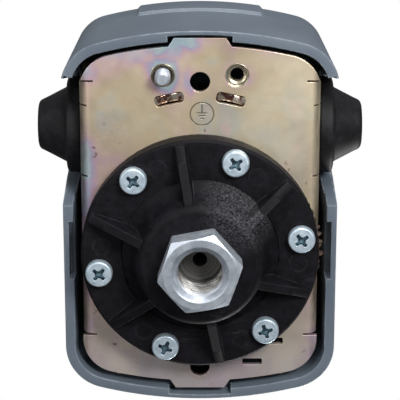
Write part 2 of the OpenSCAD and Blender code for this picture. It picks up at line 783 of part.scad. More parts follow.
module contact_block() {
    deck_t = z_deck - tunnel_top;
    color("#3a2a20") difference() {
        union() {
            translate([-block_w / 2, -block_front, z_floor]) cube([block_w, block_depth, block_h]);
            for (i = [-2 : 2])
                translate([i * terminal_pitch - barrier_t / 2, -block_front, z_deck - layer])
                    cube([barrier_t, block_front - contact_y - 3.6, barrier_h]);
            translate([-fork_gap / 2 + 1, -block_back - cut, z_floor])
                cube([fork_gap - 2, block_back - cover_screw_y + cut + pillar_collar_d / 2, foot_t]);
        }
        translate([-tunnel_w / 2, -block_back - tunnel_depth, z_carrier - 2 * gap])
            cube([tunnel_w, tunnel_depth + cut, tunnel_top - z_carrier + 2 * gap]);
        for (p = poles) translate([p * terminal_pitch, -contact_y, tunnel_top - cut])
            cylinder(d = post_d + 3 * gap, h = deck_t + 2 * cut);
        for (t = terminals) translate([t * terminal_pitch, -terminal_y, z_deck - 12])
            cylinder(d = terminal_d + 2 * fix, h = 12 + cut);
        at_screws() translate([0, 0, z_floor - cut]) cylinder(d = screw_d + 2, h = screw_tip + cut + gap);
        translate([0, -cover_screw_y, z_floor - cut])
            cylinder(d = pillar_d - 3 + 2 * fix, h = foot_t + 2 * cut);
    }
}

module contact_carrier() {
    color("whitesmoke") {
        bar_depth = tunnel_depth - 2 * gap;
        difference() {
            translate([-bar_w / 2, -block_back - bar_depth, z_bar]) cube([bar_w, bar_depth, bar_h]);
            translate([-fork_gap / 2, -block_back - 1, z_bar - cut])
                cube([fork_gap, 1 + cut, bar_h + 2 * cut]);
        }
        for (x = [fork_gap / 2, -fork_gap / 2 - fork_w])
            translate([x, -block_back - 1, z_carrier]) cube([fork_w, 4, z_bar + bar_h - z_carrier]);
        for (p = poles) translate([p * terminal_pitch, -contact_y, z_bar + bar_h - layer]) {
            cylinder(d = post_d, h = z_post_head + post_head_t - z_bar - bar_h);
            translate([0, 0, z_post_head - z_bar - bar_h]) cylinder(d = post_head_d, h = post_head_t);
        }
    }
}

module moving_contacts() {
    color("goldenrod") for (p = poles) translate([p * terminal_pitch, -contact_y, z_bridge]) {
        difference() {
            translate([-(terminal_pitch + strip_w) / 2 + 0.5, -bridge_w / 2, 0])
                cube([terminal_pitch + strip_w - 1, bridge_w, bridge_t]);
            translate([0, 0, -cut]) cylinder(d = post_d + gap, h = bridge_t + 2 * cut);
        }
        for (x = [-0.5, 0.5]) translate([x * terminal_pitch, 0, -button_t])
            cylinder(d = button_d, h = button_t + layer);
    }
}

module contact_springs() {
    color("silver") for (p = poles) translate([p * terminal_pitch, -contact_y, 0])
        coil((contact_spring_d - contact_wire_d) / 2, contact_wire_d / 2, z_bridge + bridge_t + 0.05,
            z_post_head - 0.05, contact_turns, 16, 6);
}

module fixed_contacts() {
    color("goldenrod") for (t = terminals) translate([t * terminal_pitch, 0, z_deck]) {
        difference() {
            translate([-strip_w / 2, -strip_front, 0]) cube([strip_w, strip_front - strip_back, strip_t]);
            translate([0, -terminal_y, -cut]) cylinder(d = terminal_d + gap, h = strip_t + 2 * cut);
            for (x = [-0.5, 0.5])
                translate([x * terminal_pitch, -contact_y, -cut])
                    cylinder(d = post_d + 4 * gap, h = strip_t + 2 * cut);
        }
        translate([0, -contact_y, strip_t - layer]) cylinder(d = button_d, h = button_t + layer);
    }
}

module terminal_clamps() {
    side = strip_w + 0.4;
    color("khaki") for (t = terminals)
        translate([t * terminal_pitch, -terminal_y, z_deck + strip_t]) difference() {
            translate([-side / 2, -side / 2, 0]) cube([side, side, clamp_t]);
            translate([0, 0, -cut]) cylinder(d = terminal_d + gap, h = clamp_t + 2 * cut);
        }
}

module terminal_screws() {
    z_head = z_deck + strip_t + clamp_t;
    color("lightgray") for (t = terminals) translate([t * terminal_pitch, -terminal_y, 0]) {
        translate([0, 0, z_head]) pan_head(terminal_head_d, terminal_head_h, cross_w);
        translate([0, 0, z_deck - 10]) cylinder(d = terminal_d, h = z_head - z_deck + 10 + layer);
    }
}

module earth_clamp() {
    color("khaki") translate([-earth_x, -earth_y, z_floor + collar_h]) difference() {
        cylinder(d = earth_clamp_d, h = earth_clamp_t);
        translate([0, 0, -cut]) cylinder(d = earth_bore_d + gap, h = earth_clamp_t + 2 * cut);
    }
}

module earth_screw() {
    z_head = z_floor + collar_h + earth_clamp_t;
    chamfer = 0.55;
    color("lightgray") translate([-earth_x, -earth_y, 0]) {
        translate([0, 0, z_head]) pan_head(screw_head_d, screw_head_h, cross_w);
        translate([0, 0, z_plate - layer])
            cylinder(d = earth_bore_d - 2 * fix, h = z_head - z_plate + 2 * layer);
        translate([0, 0, z_plate]) mirror([0, 0, 1]) {
            cylinder(d = screw_d, h = earth_tip - chamfer);
            translate([0, 0, earth_tip - chamfer - layer])
                cylinder(d1 = screw_d, d2 = screw_d - 2 * chamfer, h = chamfer);
        }
    }
}

// Rubber gland on the +X side: collars either side of the wall, and a cone with a blind nose
module gland() {
    mouth_r = gland_neck_d / 2 - gland_wall;
    nose_in = gland_nose_d / 2 - gland_wall;
    lip_r = gland_inner_d / 2;
    lip_x = gland_inner_x - gland_inner_t;
    lip_edge = 0.6;
    collar_r = gland_collar_d / 2;
    collar_edge = 0.8;
    outer = concat(
        [[mouth_r, lip_x], [lip_r - lip_edge, lip_x], [lip_r, lip_x + lip_edge], [lip_r, gland_inner_x]],
        [[gland_neck_d / 2, gland_inner_x], [gland_neck_d / 2, gland_collar_x]],
        [[collar_r, gland_collar_x], [collar_r, gland_cone_x - collar_edge]],
        [[collar_r - collar_edge, gland_cone_x], [gland_cone_d / 2, gland_cone_x]],
        arc(gland_nose_d / 2 - gland_nose_r, gland_end_x - gland_nose_r, gland_nose_r, 20, 90, 6));
    inner = [[0, gland_end_x], [0, gland_end_x - gland_wall], [nose_in, gland_end_x - gland_wall],
        [mouth_r, gland_cone_x]];
    color("#101012") translate([0, -gland_y, z_gland]) rotate([0, 90, 0])
        rotate_extrude() polygon(concat(outer, inner));
}

module gland_right() {
    gland();
}

module gland_left() {
    mirror([1, 0, 0]) gland();
}

module cover_pillar() {
    z_collar = z_floor + foot_t;
    color("silver") translate([0, -cover_screw_y, 0]) difference() {
        union() {
            translate([0, 0, z_plate]) cylinder(d = pillar_d - 3, h = z_collar - z_plate + layer);
            translate([0, 0, z_collar]) cylinder(d = pillar_collar_d, h = pillar_collar_t);
            translate([0, 0, z_collar + layer]) cylinder(d = pillar_d, h = pillar_top - z_collar - layer);
        }
        translate([0, 0, pillar_top - pillar_bore_depth])
            cylinder(d = cover_screw_d + 2 * run, h = pillar_bore_depth + cut);
    }
}

// Layer of the cover's shape at height z, inset by d from the rim's outline
module cover_layer(z, d) {
    translate([0, 0, z]) linear_extrude(layer)
        polygon(outline(cover_hw - d, cover_front - d, cover_back - d, arch_r - d, cover_corner_r - d, 8));
}

// Solid form of the cover between the rim and its rounded top, inset by d all over
module cover_form(d, z0) {
    top = z_top - d - layer;
    edge = cover_edge_r - d / 2;
    hull() {
        cover_layer(z0, d);
        for (a = [0 : 30 : 90])
            cover_layer(top - edge * (1 - sin(a)), d + cover_draft + edge * (1 - cos(a)));
    }
}

module cover() {
    screw_at = [0, -cover_screw_y, 0];
    color("slategray") difference() {
        union() {
            difference() {
                cover_form(0, z_rim);
                cover_form(cover_wall, z_rim - cut);
            }
            intersection() {
                cover_form(-pad_out, z_rim);
                translate([-pad_w / 2, -cover_front - cut, z_top - cover_edge_r - pad_h])
                    cube([pad_w, cover_draft + cover_wall + cut, pad_h]);
            }
            translate(screw_at) translate([0, 0, boss_bottom])
                cylinder(d = cover_boss_d, h = z_top - cover_wall / 2 - boss_bottom);
        }
        translate(screw_at) translate([0, 0, z_cover_head])
            cylinder(d = cover_head_d + screw_head_clear, h = cover_h);
        translate(screw_at) cylinder(d = cover_screw_d + 2 * gap, h = 2 * z_top);
        gland_notches();
        side_pockets();
        rim_notch(front_tab_w, -1);
        rim_notch(back_tab_w, 1);
    }
}

// Notches of the side walls that pass over the glands' collars
module gland_notches() {
    translate([0, -gland_y, 0]) rotate([90, 0, 90]) translate([0, 0, -2 * cover_hw])
        linear_extrude(4 * cover_hw)
            polygon(concat([[-notch_w / 2, z_rim - cut], [notch_w / 2, z_rim - cut]],
                arc(0, z_gland, notch_r, -5, 185, 18)));
}

// Shallow pockets inside the side walls at the rim
module side_pockets() {
    inner = cover_hw - cover_wall;
    for (x = [inner - cut, -inner - pocket_depth])
        translate([x, pocket_y - pocket_l / 2, z_rim - cut])
            cube([pocket_depth + cut, pocket_l, pocket_h + cut]);
}

// Notch inside the rim for an end tab of width w, at the front (-1) or the back (1)
module rim_notch(w, end) {
    clear_w = w + 2 * rim_notch_clear;
    face = end < 0 ? cover_front : cover_back;
    inner = face - cover_wall;
    translate([-clear_w / 2, end < 0 ? rim_notch_wall - face : inner - cut, z_rim - cut])
        cube([clear_w, cover_wall - rim_notch_wall + cut, rim_notch_depth + cut]);
}

module cover_screw() {
    color("lightgray") translate([0, -cover_screw_y, 0]) {
        translate([0, 0, z_cover_head]) pan_head(cover_head_d, cover_head_h, cross_w + 1);
        translate([0, 0, z_cover_head - cover_screw_l])
            cylinder(d = cover_screw_d, h = cover_screw_l + layer);
    }
}

module cover_screw_washer() {
    color("ivory") translate([0, -cover_screw_y, z_washer]) difference() {
        cylinder(d = washer_d, h = washer_t);
        translate([0, 0, -cut]) cylinder(d = cover_screw_d + 2 * fix, h = washer_t + 2 * cut);
    }
}

base_plate();
flange();
port_fitting();
diaphragm();
flange_screws();
piston();
lever();
pivot_pin();
pivot_clips();
range_stud();
range_spring();
range_spring_seat();
range_nut();
differential_stud();
differential_spring();
differential_spring_seat();
differential_nut();
contact_block();
contact_carrier();
moving_contacts();
contact_springs();
fixed_contacts();
terminal_screws();
terminal_clamps();
earth_screw();
earth_clamp();
gland_left();
gland_right();
cover_pillar();
cover();
cover_screw();
cover_screw_washer();
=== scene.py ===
"""Looks of a pressure switch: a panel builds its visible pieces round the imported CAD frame.

Lengths are in millimetres and are turned into metres by MM when a mesh is made; those in the materials
and in the panel's settings are in metres. +Z runs from the pressure port into the cover, and -Y is the
side of the cable glands.
"""

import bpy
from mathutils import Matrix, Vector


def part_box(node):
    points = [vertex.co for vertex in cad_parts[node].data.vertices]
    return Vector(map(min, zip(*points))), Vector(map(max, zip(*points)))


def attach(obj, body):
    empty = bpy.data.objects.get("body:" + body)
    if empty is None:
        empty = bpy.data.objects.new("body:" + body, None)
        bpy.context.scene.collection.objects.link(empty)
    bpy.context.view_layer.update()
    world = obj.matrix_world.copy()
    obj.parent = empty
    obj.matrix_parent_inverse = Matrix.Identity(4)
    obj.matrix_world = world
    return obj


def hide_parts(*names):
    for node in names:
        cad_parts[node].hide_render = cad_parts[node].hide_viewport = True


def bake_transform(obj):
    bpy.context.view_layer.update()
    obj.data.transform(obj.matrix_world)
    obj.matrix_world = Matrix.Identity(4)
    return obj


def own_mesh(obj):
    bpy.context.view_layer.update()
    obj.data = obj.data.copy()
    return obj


bl_info = {
    "name": "Pressure Switch Looks",
    "version": (1, 0, 0),
    "blender": (4, 5, 0),
    "location": "View3D > Sidebar > Pressure Switch",
    "description": "Builds the visible pieces of a pressure switch and its white stage",
    "category": "Add Mesh",
}

import math

import bmesh
import bpy
import numpy as np
from bpy.props import FloatProperty, FloatVectorProperty, IntProperty, PointerProperty
from mathutils import Matrix

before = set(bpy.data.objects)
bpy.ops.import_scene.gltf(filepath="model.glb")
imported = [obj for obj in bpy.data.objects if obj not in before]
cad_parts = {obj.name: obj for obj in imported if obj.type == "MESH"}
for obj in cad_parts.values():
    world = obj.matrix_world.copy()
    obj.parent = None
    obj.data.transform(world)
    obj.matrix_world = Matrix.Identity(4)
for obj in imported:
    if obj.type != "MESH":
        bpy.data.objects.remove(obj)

MM = 0.001
TAU = 2 * math.pi

PLATE_T = 1.5
RING_H = 5.1          # depth of the flange's ring
HEX_H = 6.5           # from the port's mouth to the dome's top
GLAND_H = 17.6        # from the plate's outer face to the glands' axis

# Heights above the origin, worked out from the CAD frame
Z_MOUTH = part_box("port_fitting")[0].z / MM
Z_DOME = Z_MOUTH + HEX_H
Z_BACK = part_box("flange")[1].z / MM
Z_RING = Z_BACK - RING_H
Z_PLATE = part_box("diaphragm")[1].z / MM
Z_FLOOR = Z_PLATE + PLATE_T
Z_GLAND = Z_PLATE + GLAND_H
Z_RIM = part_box("cover")[0].z / MM
Z_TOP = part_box("cover")[1].z / MM

ARCH_R = 108.0        # radius of the arched ends of plate and cover
GLAND_Y = -28.4
GLAND_NECK_R = 9.5
GLAND_NOTCH_R = 14.3
COVER_SCREW = (0.0, -18.5)
COVER_BORE_R = 1.92
SCREW_PCD = 53.0
SCREW_ANGLE = 50.0    # degrees from +X to the first flange screw, rib and ejector mark
RIB_ANGLE = 20.0
MARK_ANGLE = 5.0
EARTH = (9.5, -45.8)
EARTH_HOLE_R = 3.1
MOUNT_FRONT = (0.0, -44.1)
MOUNT_BACK = (0.0, 34.0)
MOUNT_HOLE_R = 2.6
LANCE_AT = (7.9, -39.5)
LANCE_TURN = 12.0     # degrees
STAMP_AT = (0.5, -35.7)
RANGE_AT = (0.0, 17.0)
DIFF_AT = (14.0, 12.0)


# ---------------------------------------------------------------- number helpers

def smooth(x, lo, hi):
    """0 below lo, 1 above hi, and 3t^2 - 2t^3 between."""
    t = np.clip((x - lo) / (hi - lo), 0, 1)
    return t * t * (3 - 2 * t)


def rounded(points, radii, steps=6):
    """Open 2D profile whose corner k is an arc of radius radii[k] tangent to both of its sides."""
    out = [points[0]]
    for before, here, after, r in zip(points, points[1:], points[2:], radii[1:]):
        here = np.array(here, float)
        a = np.array(before, float) - here
        b = np.array(after, float) - here
        la, lb = np.linalg.norm(a), np.linalg.norm(b)
        a, b = a / la, b / lb
        half = math.acos(max(-1, min(1, float(a @ b)))) / 2
        if r <= 0 or half < 0.02 or half > math.pi / 2 - 0.02:
            out.append(tuple(here))
            continue
        reach = min(r / math.tan(half), 0.48 * la, 0.48 * lb)
        r = reach * math.tan(half)
        mid = (a + b) / np.linalg.norm(a + b)
        centre = here + mid * r / math.sin(half)
        start, end = here + a * reach - centre, here + b * reach - centre
        a0 = math.atan2(start[1], start[0])
        turn = (math.atan2(end[1], end[0]) - a0 + math.pi) % TAU - math.pi
        for t in np.linspace(0, 1, steps):
            out.append((centre[0] + r * math.cos(a0 + turn * t), centre[1] + r * math.sin(a0 + turn * t)))
    out.append(points[-1])
    return np.array(out, float)


def resampled(points, step):
    """The same polyline with extra points, so that no piece of it is longer than step."""
    out = [points[:1]]
    for a, b in zip(points, points[1:]):
        n = max(1, int(math.ceil(np.linalg.norm(b - a) / step)))
        t = np.linspace(0, 1, n + 1)[1:, None]
        out.append(a + (b - a) * t)
    return np.concatenate(out)


# ---------------------------------------------------------------- mesh helpers

def grid_mesh(name, points, sharp=38, capped=False):
    """Mesh on a (U, V, 3) grid of points in millimetres, closed round u: quad (i, j) joins i, i+1 and j, j+1.
    It is closed along v as well or, if capped, ends in a fan over its first and its last v-ring."""
    nu, nv = points.shape[:2]
    index = np.arange(nu * nv).reshape(nu, nv)
    iu = np.vstack([index, index[:1]])
    iv = iu if capped else np.hstack([iu, iu[:, :1]])
    faces = np.stack([iv[:-1, :-1], iv[1:, :-1], iv[1:, 1:], iv[:-1, 1:]], -1).reshape(-1, 4).tolist()
    co = points.reshape(-1, 3)
    if capped:
        first, last = nu * nv, nu * nv + 1
        co = np.vstack([co, points[:, 0].mean(0), points[:, -1].mean(0)])
        faces += [(first, b, a) for a, b in zip(iu[:-1, 0].tolist(), iu[1:, 0].tolist())]
        faces += [(a, b, last) for a, b in zip(iu[:-1, -1].tolist(), iu[1:, -1].tolist())]
    mesh = bpy.data.meshes.new(name)
    mesh.from_pydata((co * MM).tolist(), [], faces)
    return finished(mesh, sharp)


def finished(mesh, sharp=38):
    """Merges doubled points, points the faces outward, and shades the mesh smooth up to the sharp angle."""
    bm = bmesh.new()
    bm.from_mesh(mesh)
    bmesh.ops.remove_doubles(bm, verts=bm.verts, dist=1e-7)
    bmesh.ops.dissolve_degenerate(bm, edges=bm.edges, dist=1e-8)
    bmesh.ops.recalc_face_normals(bm, faces=bm.faces)
    bm.to_mesh(mesh)
    bm.free()
    mesh.shade_smooth()
    mesh.set_sharp_from_angle(angle=math.radians(sharp))
    mesh.validate()
    return mesh


def lathe(name, profile, count, sharp=38, at=(0, 0)):
    """Surface of revolution of a closed profile (r, z): (x, y, z) = (at + r(s) (cos a, sin a), z(s))."""
    a = np.linspace(0, TAU, count, endpoint=False)[:, None]
    r, z = profile[None, :, 0], profile[None, :, 1]
    p = np.stack([at[0] + r * np.cos(a), at[1] + r * np.sin(a), np.broadcast_to(z, (count, r.shape[1]))], -1)
    return grid_mesh(name, p, sharp)


def joined(name, meshes, sharp=38):
    """One mesh made of several."""
    bm = bmesh.new()
    for m in meshes:
        bm.from_mesh(m)
    out = bpy.data.meshes.new(name)
    bm.to_mesh(out)
    bm.free()
    for m in meshes:
        bpy.data.meshes.remove(m)
    out.shade_smooth()
    out.set_sharp_from_angle(angle=math.radians(sharp))
    return out


def moved(mesh, x=0, y=0, z=0, turn=0, flip=False):
    """The mesh turned about +Z, turned over about X if flip, and moved, in millimetres."""
    m = Matrix.Translation((x * MM, y * MM, z * MM)) @ Matrix.Rotation(turn, 4, "Z")
    if flip:
        m = m @ Matrix.Rotation(math.pi, 4, "X")
    mesh.transform(m)
    return mesh


def sheet_mesh(name, loops, thickness, bevel, z=0.0):
    """Flat sheet cut along closed loops (the first is its outline, the rest are holes), with a fine bevel.
    It spans z to z + thickness."""
    curve = bpy.data.curves.new(name, "CURVE")
    curve.dimensions = "2D"
    curve.fill_mode = "BOTH"
    curve.extrude = (thickness / 2 - bevel) * MM
    curve.bevel_depth = bevel * MM
    curve.bevel_resolution = 1
    curve.offset = -bevel * MM
    for loop in loops:
        spline = curve.splines.new("POLY")
        spline.points.add(len(loop) - 1)
        co = np.zeros((len(loop), 4))
        co[:, :2] = np.asarray(loop) * MM
        co[:, 3] = 1
        spline.points.foreach_set("co", co.ravel())
        spline.use_cyclic_u = True
    holder = bpy.data.objects.new(name, curve)
    bpy.context.scene.collection.objects.link(holder)
    bpy.context.view_layer.update()
    mesh = bpy.data.meshes.new_from_object(holder.evaluated_get(bpy.context.evaluated_depsgraph_get()))
    bpy.data.objects.remove(holder)
    bpy.data.curves.remove(curve)
    mesh.transform(Matrix.Translation((0, 0, (z + thickness / 2) * MM)))
    return mesh


def arc_points(x, y, r, count, start, end):
    """Points of an arc about (x, y), both ends included."""
    a = np.linspace(start, end, count)
    return np.stack([x + r * np.cos(a), y + r * np.sin(a)], -1)


def circle(x, y, r, count=40):
    """Points round a circle about (x, y)."""
    return arc_points(x, y, r, count + 1, 0.0, TAU)[:-1]


def stadium(x, y, length, width, turn=0.0, corner=None, count=8):
    """Slot with rounded corners, or with round ends where no corner is given, turned by radians."""
    r = width / 2 if corner is None else corner
    hx, hy = length / 2 - r, width / 2 - r
    corners = ((1, 1, 0), (-1, 1, math.pi / 2), (-1, -1, math.pi), (1, -1, 1.5 * math.pi))
    p = np.concatenate([arc_points(sx * hx, sy * hy, r, count, a, a + math.pi / 2) for sx, sy, a in corners])
    c, s = math.cos(turn), math.sin(turn)
    return np.stack([x + c * p[:, 0] - s * p[:, 1], y + s * p[:, 0] + c * p[:, 1]], -1)


def axes_matrix(x_axis, y_axis, z_axis, place):
    """Matrix of something by the directions of its own axes and its place in millimetres."""
    return Matrix([[x_axis[k], y_axis[k], z_axis[k], place[k] * MM] for k in range(3)] + [[0, 0, 0, 1]])


def arched_ends(half_w, front, back, corner):
    """Arcs of an outline with straight sides and arched ends: x of the corner centres, y of the back and
    front corner centres, y of the back and front arch centres, and the angle where the arcs meet."""
    cx = half_w - corner
    rise = math.sqrt((ARCH_R - corner) ** 2 - cx ** 2)
    back_c, front_c = back - ARCH_R, ARCH_R - front
    return cx, back_c + rise, front_c - rise, back_c, front_c, math.atan2(rise, cx)


def add_piece(name, mesh, body, slot, nodes, *materials):
    """Links a finished mesh as a piece that stands for CAD nodes and rides on a body, unless body is None."""
    obj = bpy.data.objects.new(name, mesh)
    bpy.context.scene.collection.objects.link(obj)
    for material in materials:
        mesh.materials.append(material)
    if body:
        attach(obj, body)
    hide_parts(*nodes)
    return obj


# ---------------------------------------------------------------- shader helpers

FLOAT, VECTOR, COLOUR = "NodeSocketFloat", "NodeSocketVector", "NodeSocketColor"


class Net:
    """Short way to write a node tree: add() makes a node, the others give the output of a common one."""

    def __init__(self, tree):
        self.tree = tree

    def plug(self, socket, value):
        """Links another socket to an input, or sets its value."""
        if isinstance(value, bpy.types.NodeSocket):
            self.tree.links.new(value, socket)
        elif socket.type == "RGBA" and len(value) == 3:
            socket.default_value = (*value, 1)
        else:
            socket.default_value = value

    def add(self, kind, inputs=None, **settings):
        node = self.tree.nodes.new(kind)
        for key, value in settings.items():
            setattr(node, key, value)
        for key, value in (inputs or {}).items():
            self.plug(node.inputs[key], value)
        return node

    def math(self, op, a, b=0.0, clamp=False):
        return self.add("ShaderNodeMath", {0: a, 1: b}, operation=op, use_clamp=clamp).outputs[0]

    def mix(self, factor, a, b):
        return self.add("ShaderNodeMix", {0: factor, 6: a, 7: b}, data_type="RGBA").outputs[2]

    def over(self, base, mask, share, *rgb):
        """The base, covered by a share of a display colour where the mask is 1."""
        return self.mix(self.math("MULTIPLY", mask, share), base, srgb(*rgb))

    def ramp(self, value, stops):
        node = self.add("ShaderNodeValToRGB", {0: value})
        elements = node.color_ramp.elements
        while len(elements) < len(stops):
            elements.new(0.5)
        for element, (place, *rgb) in zip(elements, stops):
            element.position = place
            element.color = (*srgb(*rgb), 1)
        return node.outputs[0]

    def spread(self, value, lo, hi, to_lo=0.0, to_hi=1.0):
        return self.add("ShaderNodeMapRange", {0: value, 1: lo, 2: hi, 3: to_lo, 4: to_hi}).outputs[0]

    def noise(self, vector, scale, detail=3.0, rough=0.5, distortion=0.0):
        return self.add("ShaderNodeTexNoise", {"Vector": vector, "Scale": scale, "Detail": detail,
                                               "Roughness": rough, "Distortion": distortion}).outputs["Fac"]

    def stretched(self, vector, *scale):
        return self.add("ShaderNodeMapping", {"Vector": vector, "Scale": scale}).outputs[0]

    def distance(self, a, b):
        return self.add("ShaderNodeVectorMath", {0: a, 1: b}, operation="DISTANCE").outputs["Value"]

    def split(self, vector):
        return self.add("ShaderNodeSeparateXYZ", {0: vector}).outputs

    def split_about(self, centre):
        """x, y and z of the object's coordinates about a centre."""
        place = self.add("ShaderNodeTexCoord").outputs["Object"]
        away = self.add("ShaderNodeVectorMath", {0: place, 1: centre}, operation="SUBTRACT")
        return self.split(away.outputs[0])

    def radius(self, x, y):
        """Distance from the Z axis."""
        return self.math("SQRT", self.math("ADD", self.math("MULTIPLY", x, x), self.math("MULTIPLY", y, y)))


def srgb(r, g, b):
    """Linear colour of an 8-bit display colour."""
    out = []
    for c in (r / 255, g / 255, b / 255):
        out.append(c / 12.92 if c <= 0.04045 else ((c + 0.055) / 1.055) ** 2.4)
    return tuple(out)


def new_group(name, inputs, outputs):
    """Node group with an interface: returns its Net, what comes in and what goes out."""
    tree = bpy.data.node_groups.new(name, "ShaderNodeTree")
    for label, kind, default in inputs:
        socket = tree.interface.new_socket(label, in_out="INPUT", socket_type=kind)
        if default is not None:
            socket.default_value = default
    for label, kind in outputs:
        tree.interface.new_socket(label, in_out="OUTPUT", socket_type=kind)
    net = Net(tree)
    return net, net.add("NodeGroupInput").outputs, net.add("NodeGroupOutput").inputs


def group_edge_wear():
    """Mask that is 1 on worn convex edges: a bevelled normal against the true one, broken up by noise."""
    net, given, out = new_group("PS Edge Wear", [("Width", FLOAT, 0.0003), ("Breakup", FLOAT, 400.0)],
                                [("Mask", FLOAT)])
    normal = net.add("ShaderNodeNewGeometry").outputs["Normal"]
    place = net.add("ShaderNodeTexCoord").outputs["Object"]
    bevel = net.add("ShaderNodeBevel", {"Radius": given["Width"]}, samples=4).outputs[0]
    dot = net.add("ShaderNodeVectorMath", {0: bevel, 1: normal}, operation="DOT_PRODUCT").outputs["Value"]
    bent = net.spread(net.math("SUBTRACT", 1.0, dot), 0.02, 0.16)
    noise = net.noise(place, given["Breakup"], 4.0, 0.65)
    net.plug(out["Mask"], net.math("MULTIPLY", bent, net.spread(noise, 0.38, 0.62), True))
    return net.tree


def group_grain():
    """Normal of a fine moulded or cast grain."""
    net, given, out = new_group("PS Grain", [("Scale", FLOAT, 2500.0), ("Strength", FLOAT, 0.2),
                                             ("Depth", FLOAT, 0.00005)], [("Normal", VECTOR)])
    place = net.add("ShaderNodeTexCoord").outputs["Object"]
    fine = net.noise(place, given["Scale"], 3.0, 0.6)
    coarse = net.noise(place, net.math("MULTIPLY", given["Scale"], 0.12), 2.0, 0.5)
    height = net.math("ADD", net.math("MULTIPLY", fine, 0.7), net.math("MULTIPLY", coarse, 0.6))
    bump = net.add("ShaderNodeBump", {"Height": height, "Strength": given["Strength"],
                                      "Distance": given["Depth"]})
    net.plug(out["Normal"], bump.outputs[0])
    return net.tree


def group_scuffs():
    """Mask of short scratches and rubbed patches: thin bands of a stretched noise, kept where a wide noise
    is high."""
    net, given, out = new_group("PS Scuffs", [("Scale", FLOAT, 90.0), ("Amount", FLOAT, 0.5)],
                                [("Mask", FLOAT)])
    place = net.add("ShaderNodeTexCoord").outputs["Object"]
    total = 0.0
    for turn, seed in ((0.6, 0.11), (-0.9, 0.37), (1.9, 0.71)):
        mapped = net.add("ShaderNodeMapping", {
            "Vector": place, "Location": (seed, seed * 2, seed * 3),
            "Rotation": (0.3 * turn, 0.2, turn), "Scale": (1.0, 14.0, 3.0)}).outputs[0]
        line = net.noise(mapped, given["Scale"], 2.0, 0.5)
        off = net.math("ABSOLUTE", net.math("SUBTRACT", line, 0.52))
        total = net.math("MAXIMUM", total, net.math("SUBTRACT", 1.0, net.spread(off, 0.0, 0.012)))
    patch = net.noise(place, net.math("MULTIPLY", given["Scale"], 0.9), 3.0, 0.6)
    least = net.math("SUBTRACT", 0.75, net.math("MULTIPLY", given["Amount"], 0.35))
    net.plug(out["Mask"], net.math("MULTIPLY", total, net.spread(patch, least, 0.78), True))
    return net.tree


def group_film():
    """Colour of a thin passivation film by its level: cyan, violet and rose where thin, beige, then green and
    pale rose where thick. The level is a slow noise with a fine one on it, less what the caller takes off
    near edges."""
    net, given, out = new_group("PS Film", [("Thin", FLOAT, 0.0), ("Scale", FLOAT, 26.0)],
                                [("Color", COLOUR)])
    place = net.stretched(net.add("ShaderNodeTexCoord").outputs["Object"], 1.0, 0.75, 0.6)
    slow = net.noise(place, given["Scale"], 3.0, 0.5, 0.8)
    fine = net.noise(place, net.math("MULTIPLY", given["Scale"], 4.0), 4.0, 0.6, 0.5)
    level = net.math("ADD", net.spread(slow, 0.27, 0.73, 0.15, 1.0), net.spread(fine, 0.3, 0.7, -0.06, 0.06))
    level = net.math("SUBTRACT", level, given["Thin"], True)
    net.plug(out["Color"], net.ramp(level, [
        (0.0, 170, 190, 200), (0.09, 174, 166, 194), (0.19, 200, 168, 182), (0.30, 208, 180, 168),
        (0.44, 206, 186, 162), (0.58, 206, 188, 156), (0.70, 204, 192, 166), (0.80, 194, 192, 178),
        (0.89, 210, 190, 180), (1.0, 204, 178, 184)]))
    return net.tree


def group_stamp():
    """Mask of a shallow stamped earth symbol: a ring, an upright stroke and three bars of falling width."""
    net, given, out = new_group("PS Stamp", [("Centre", VECTOR, None)], [("Mask", FLOAT)])
    x, y, z = net.split_about(given["Centre"])

    def line(value, centre, half):
        """1 within half of centre, in metres, with a soft edge."""
        off = net.math("ABSOLUTE", net.math("SUBTRACT", value, centre))
        return net.spread(off, half + 0.00006, half - 0.00003)

    mask = line(net.radius(x, y), 0.0030, 0.00013)
    strokes = [(0.0, 0.00014, -0.0013, 0.0011)]
    strokes += [(0.0, 0.0013 - 0.0004 * k, -0.0002 + 0.0007 * k, 0.00014) for k in range(3)]
    for cx, wx, cy, wy in strokes:
        mask = net.math("MAXIMUM", mask, net.math("MULTIPLY", line(x, cx, wx), line(y, cy, wy)))
    net.plug(out["Mask"], net.math("MULTIPLY", mask, line(z, 0.0, 0.0004)))
    return net.tree


def group_turning():
    """Turning marks round an axis along Z at a given centre: a noise over the distance to it, as a normal
    and as it is."""
    net, given, out = new_group("PS Turning", [("Centre", VECTOR, None), ("Pitch", FLOAT, 9000.0),
                                               ("Strength", FLOAT, 0.15)],
                                [("Normal", VECTOR), ("Rings", FLOAT)])
    x, y, z = net.split_about(given["Centre"])
    along = net.math("ADD", net.radius(x, y), net.math("MULTIPLY", z, 0.8))
    along = net.add("ShaderNodeCombineXYZ", {0: along})
    ring = net.noise(along.outputs[0], given["Pitch"], 2.0, 0.7)
    bump = net.add("ShaderNodeBump", {"Height": ring, "Strength": given["Strength"], "Distance": 0.00006})
    net.plug(out["Normal"], bump.outputs[0])
    net.plug(out["Rings"], ring)
    return net.tree


GROUPS = {"PS Edge Wear": group_edge_wear, "PS Grain": group_grain, "PS Scuffs": group_scuffs,
          "PS Film": group_film, "PS Stamp": group_stamp, "PS Turning": group_turning}


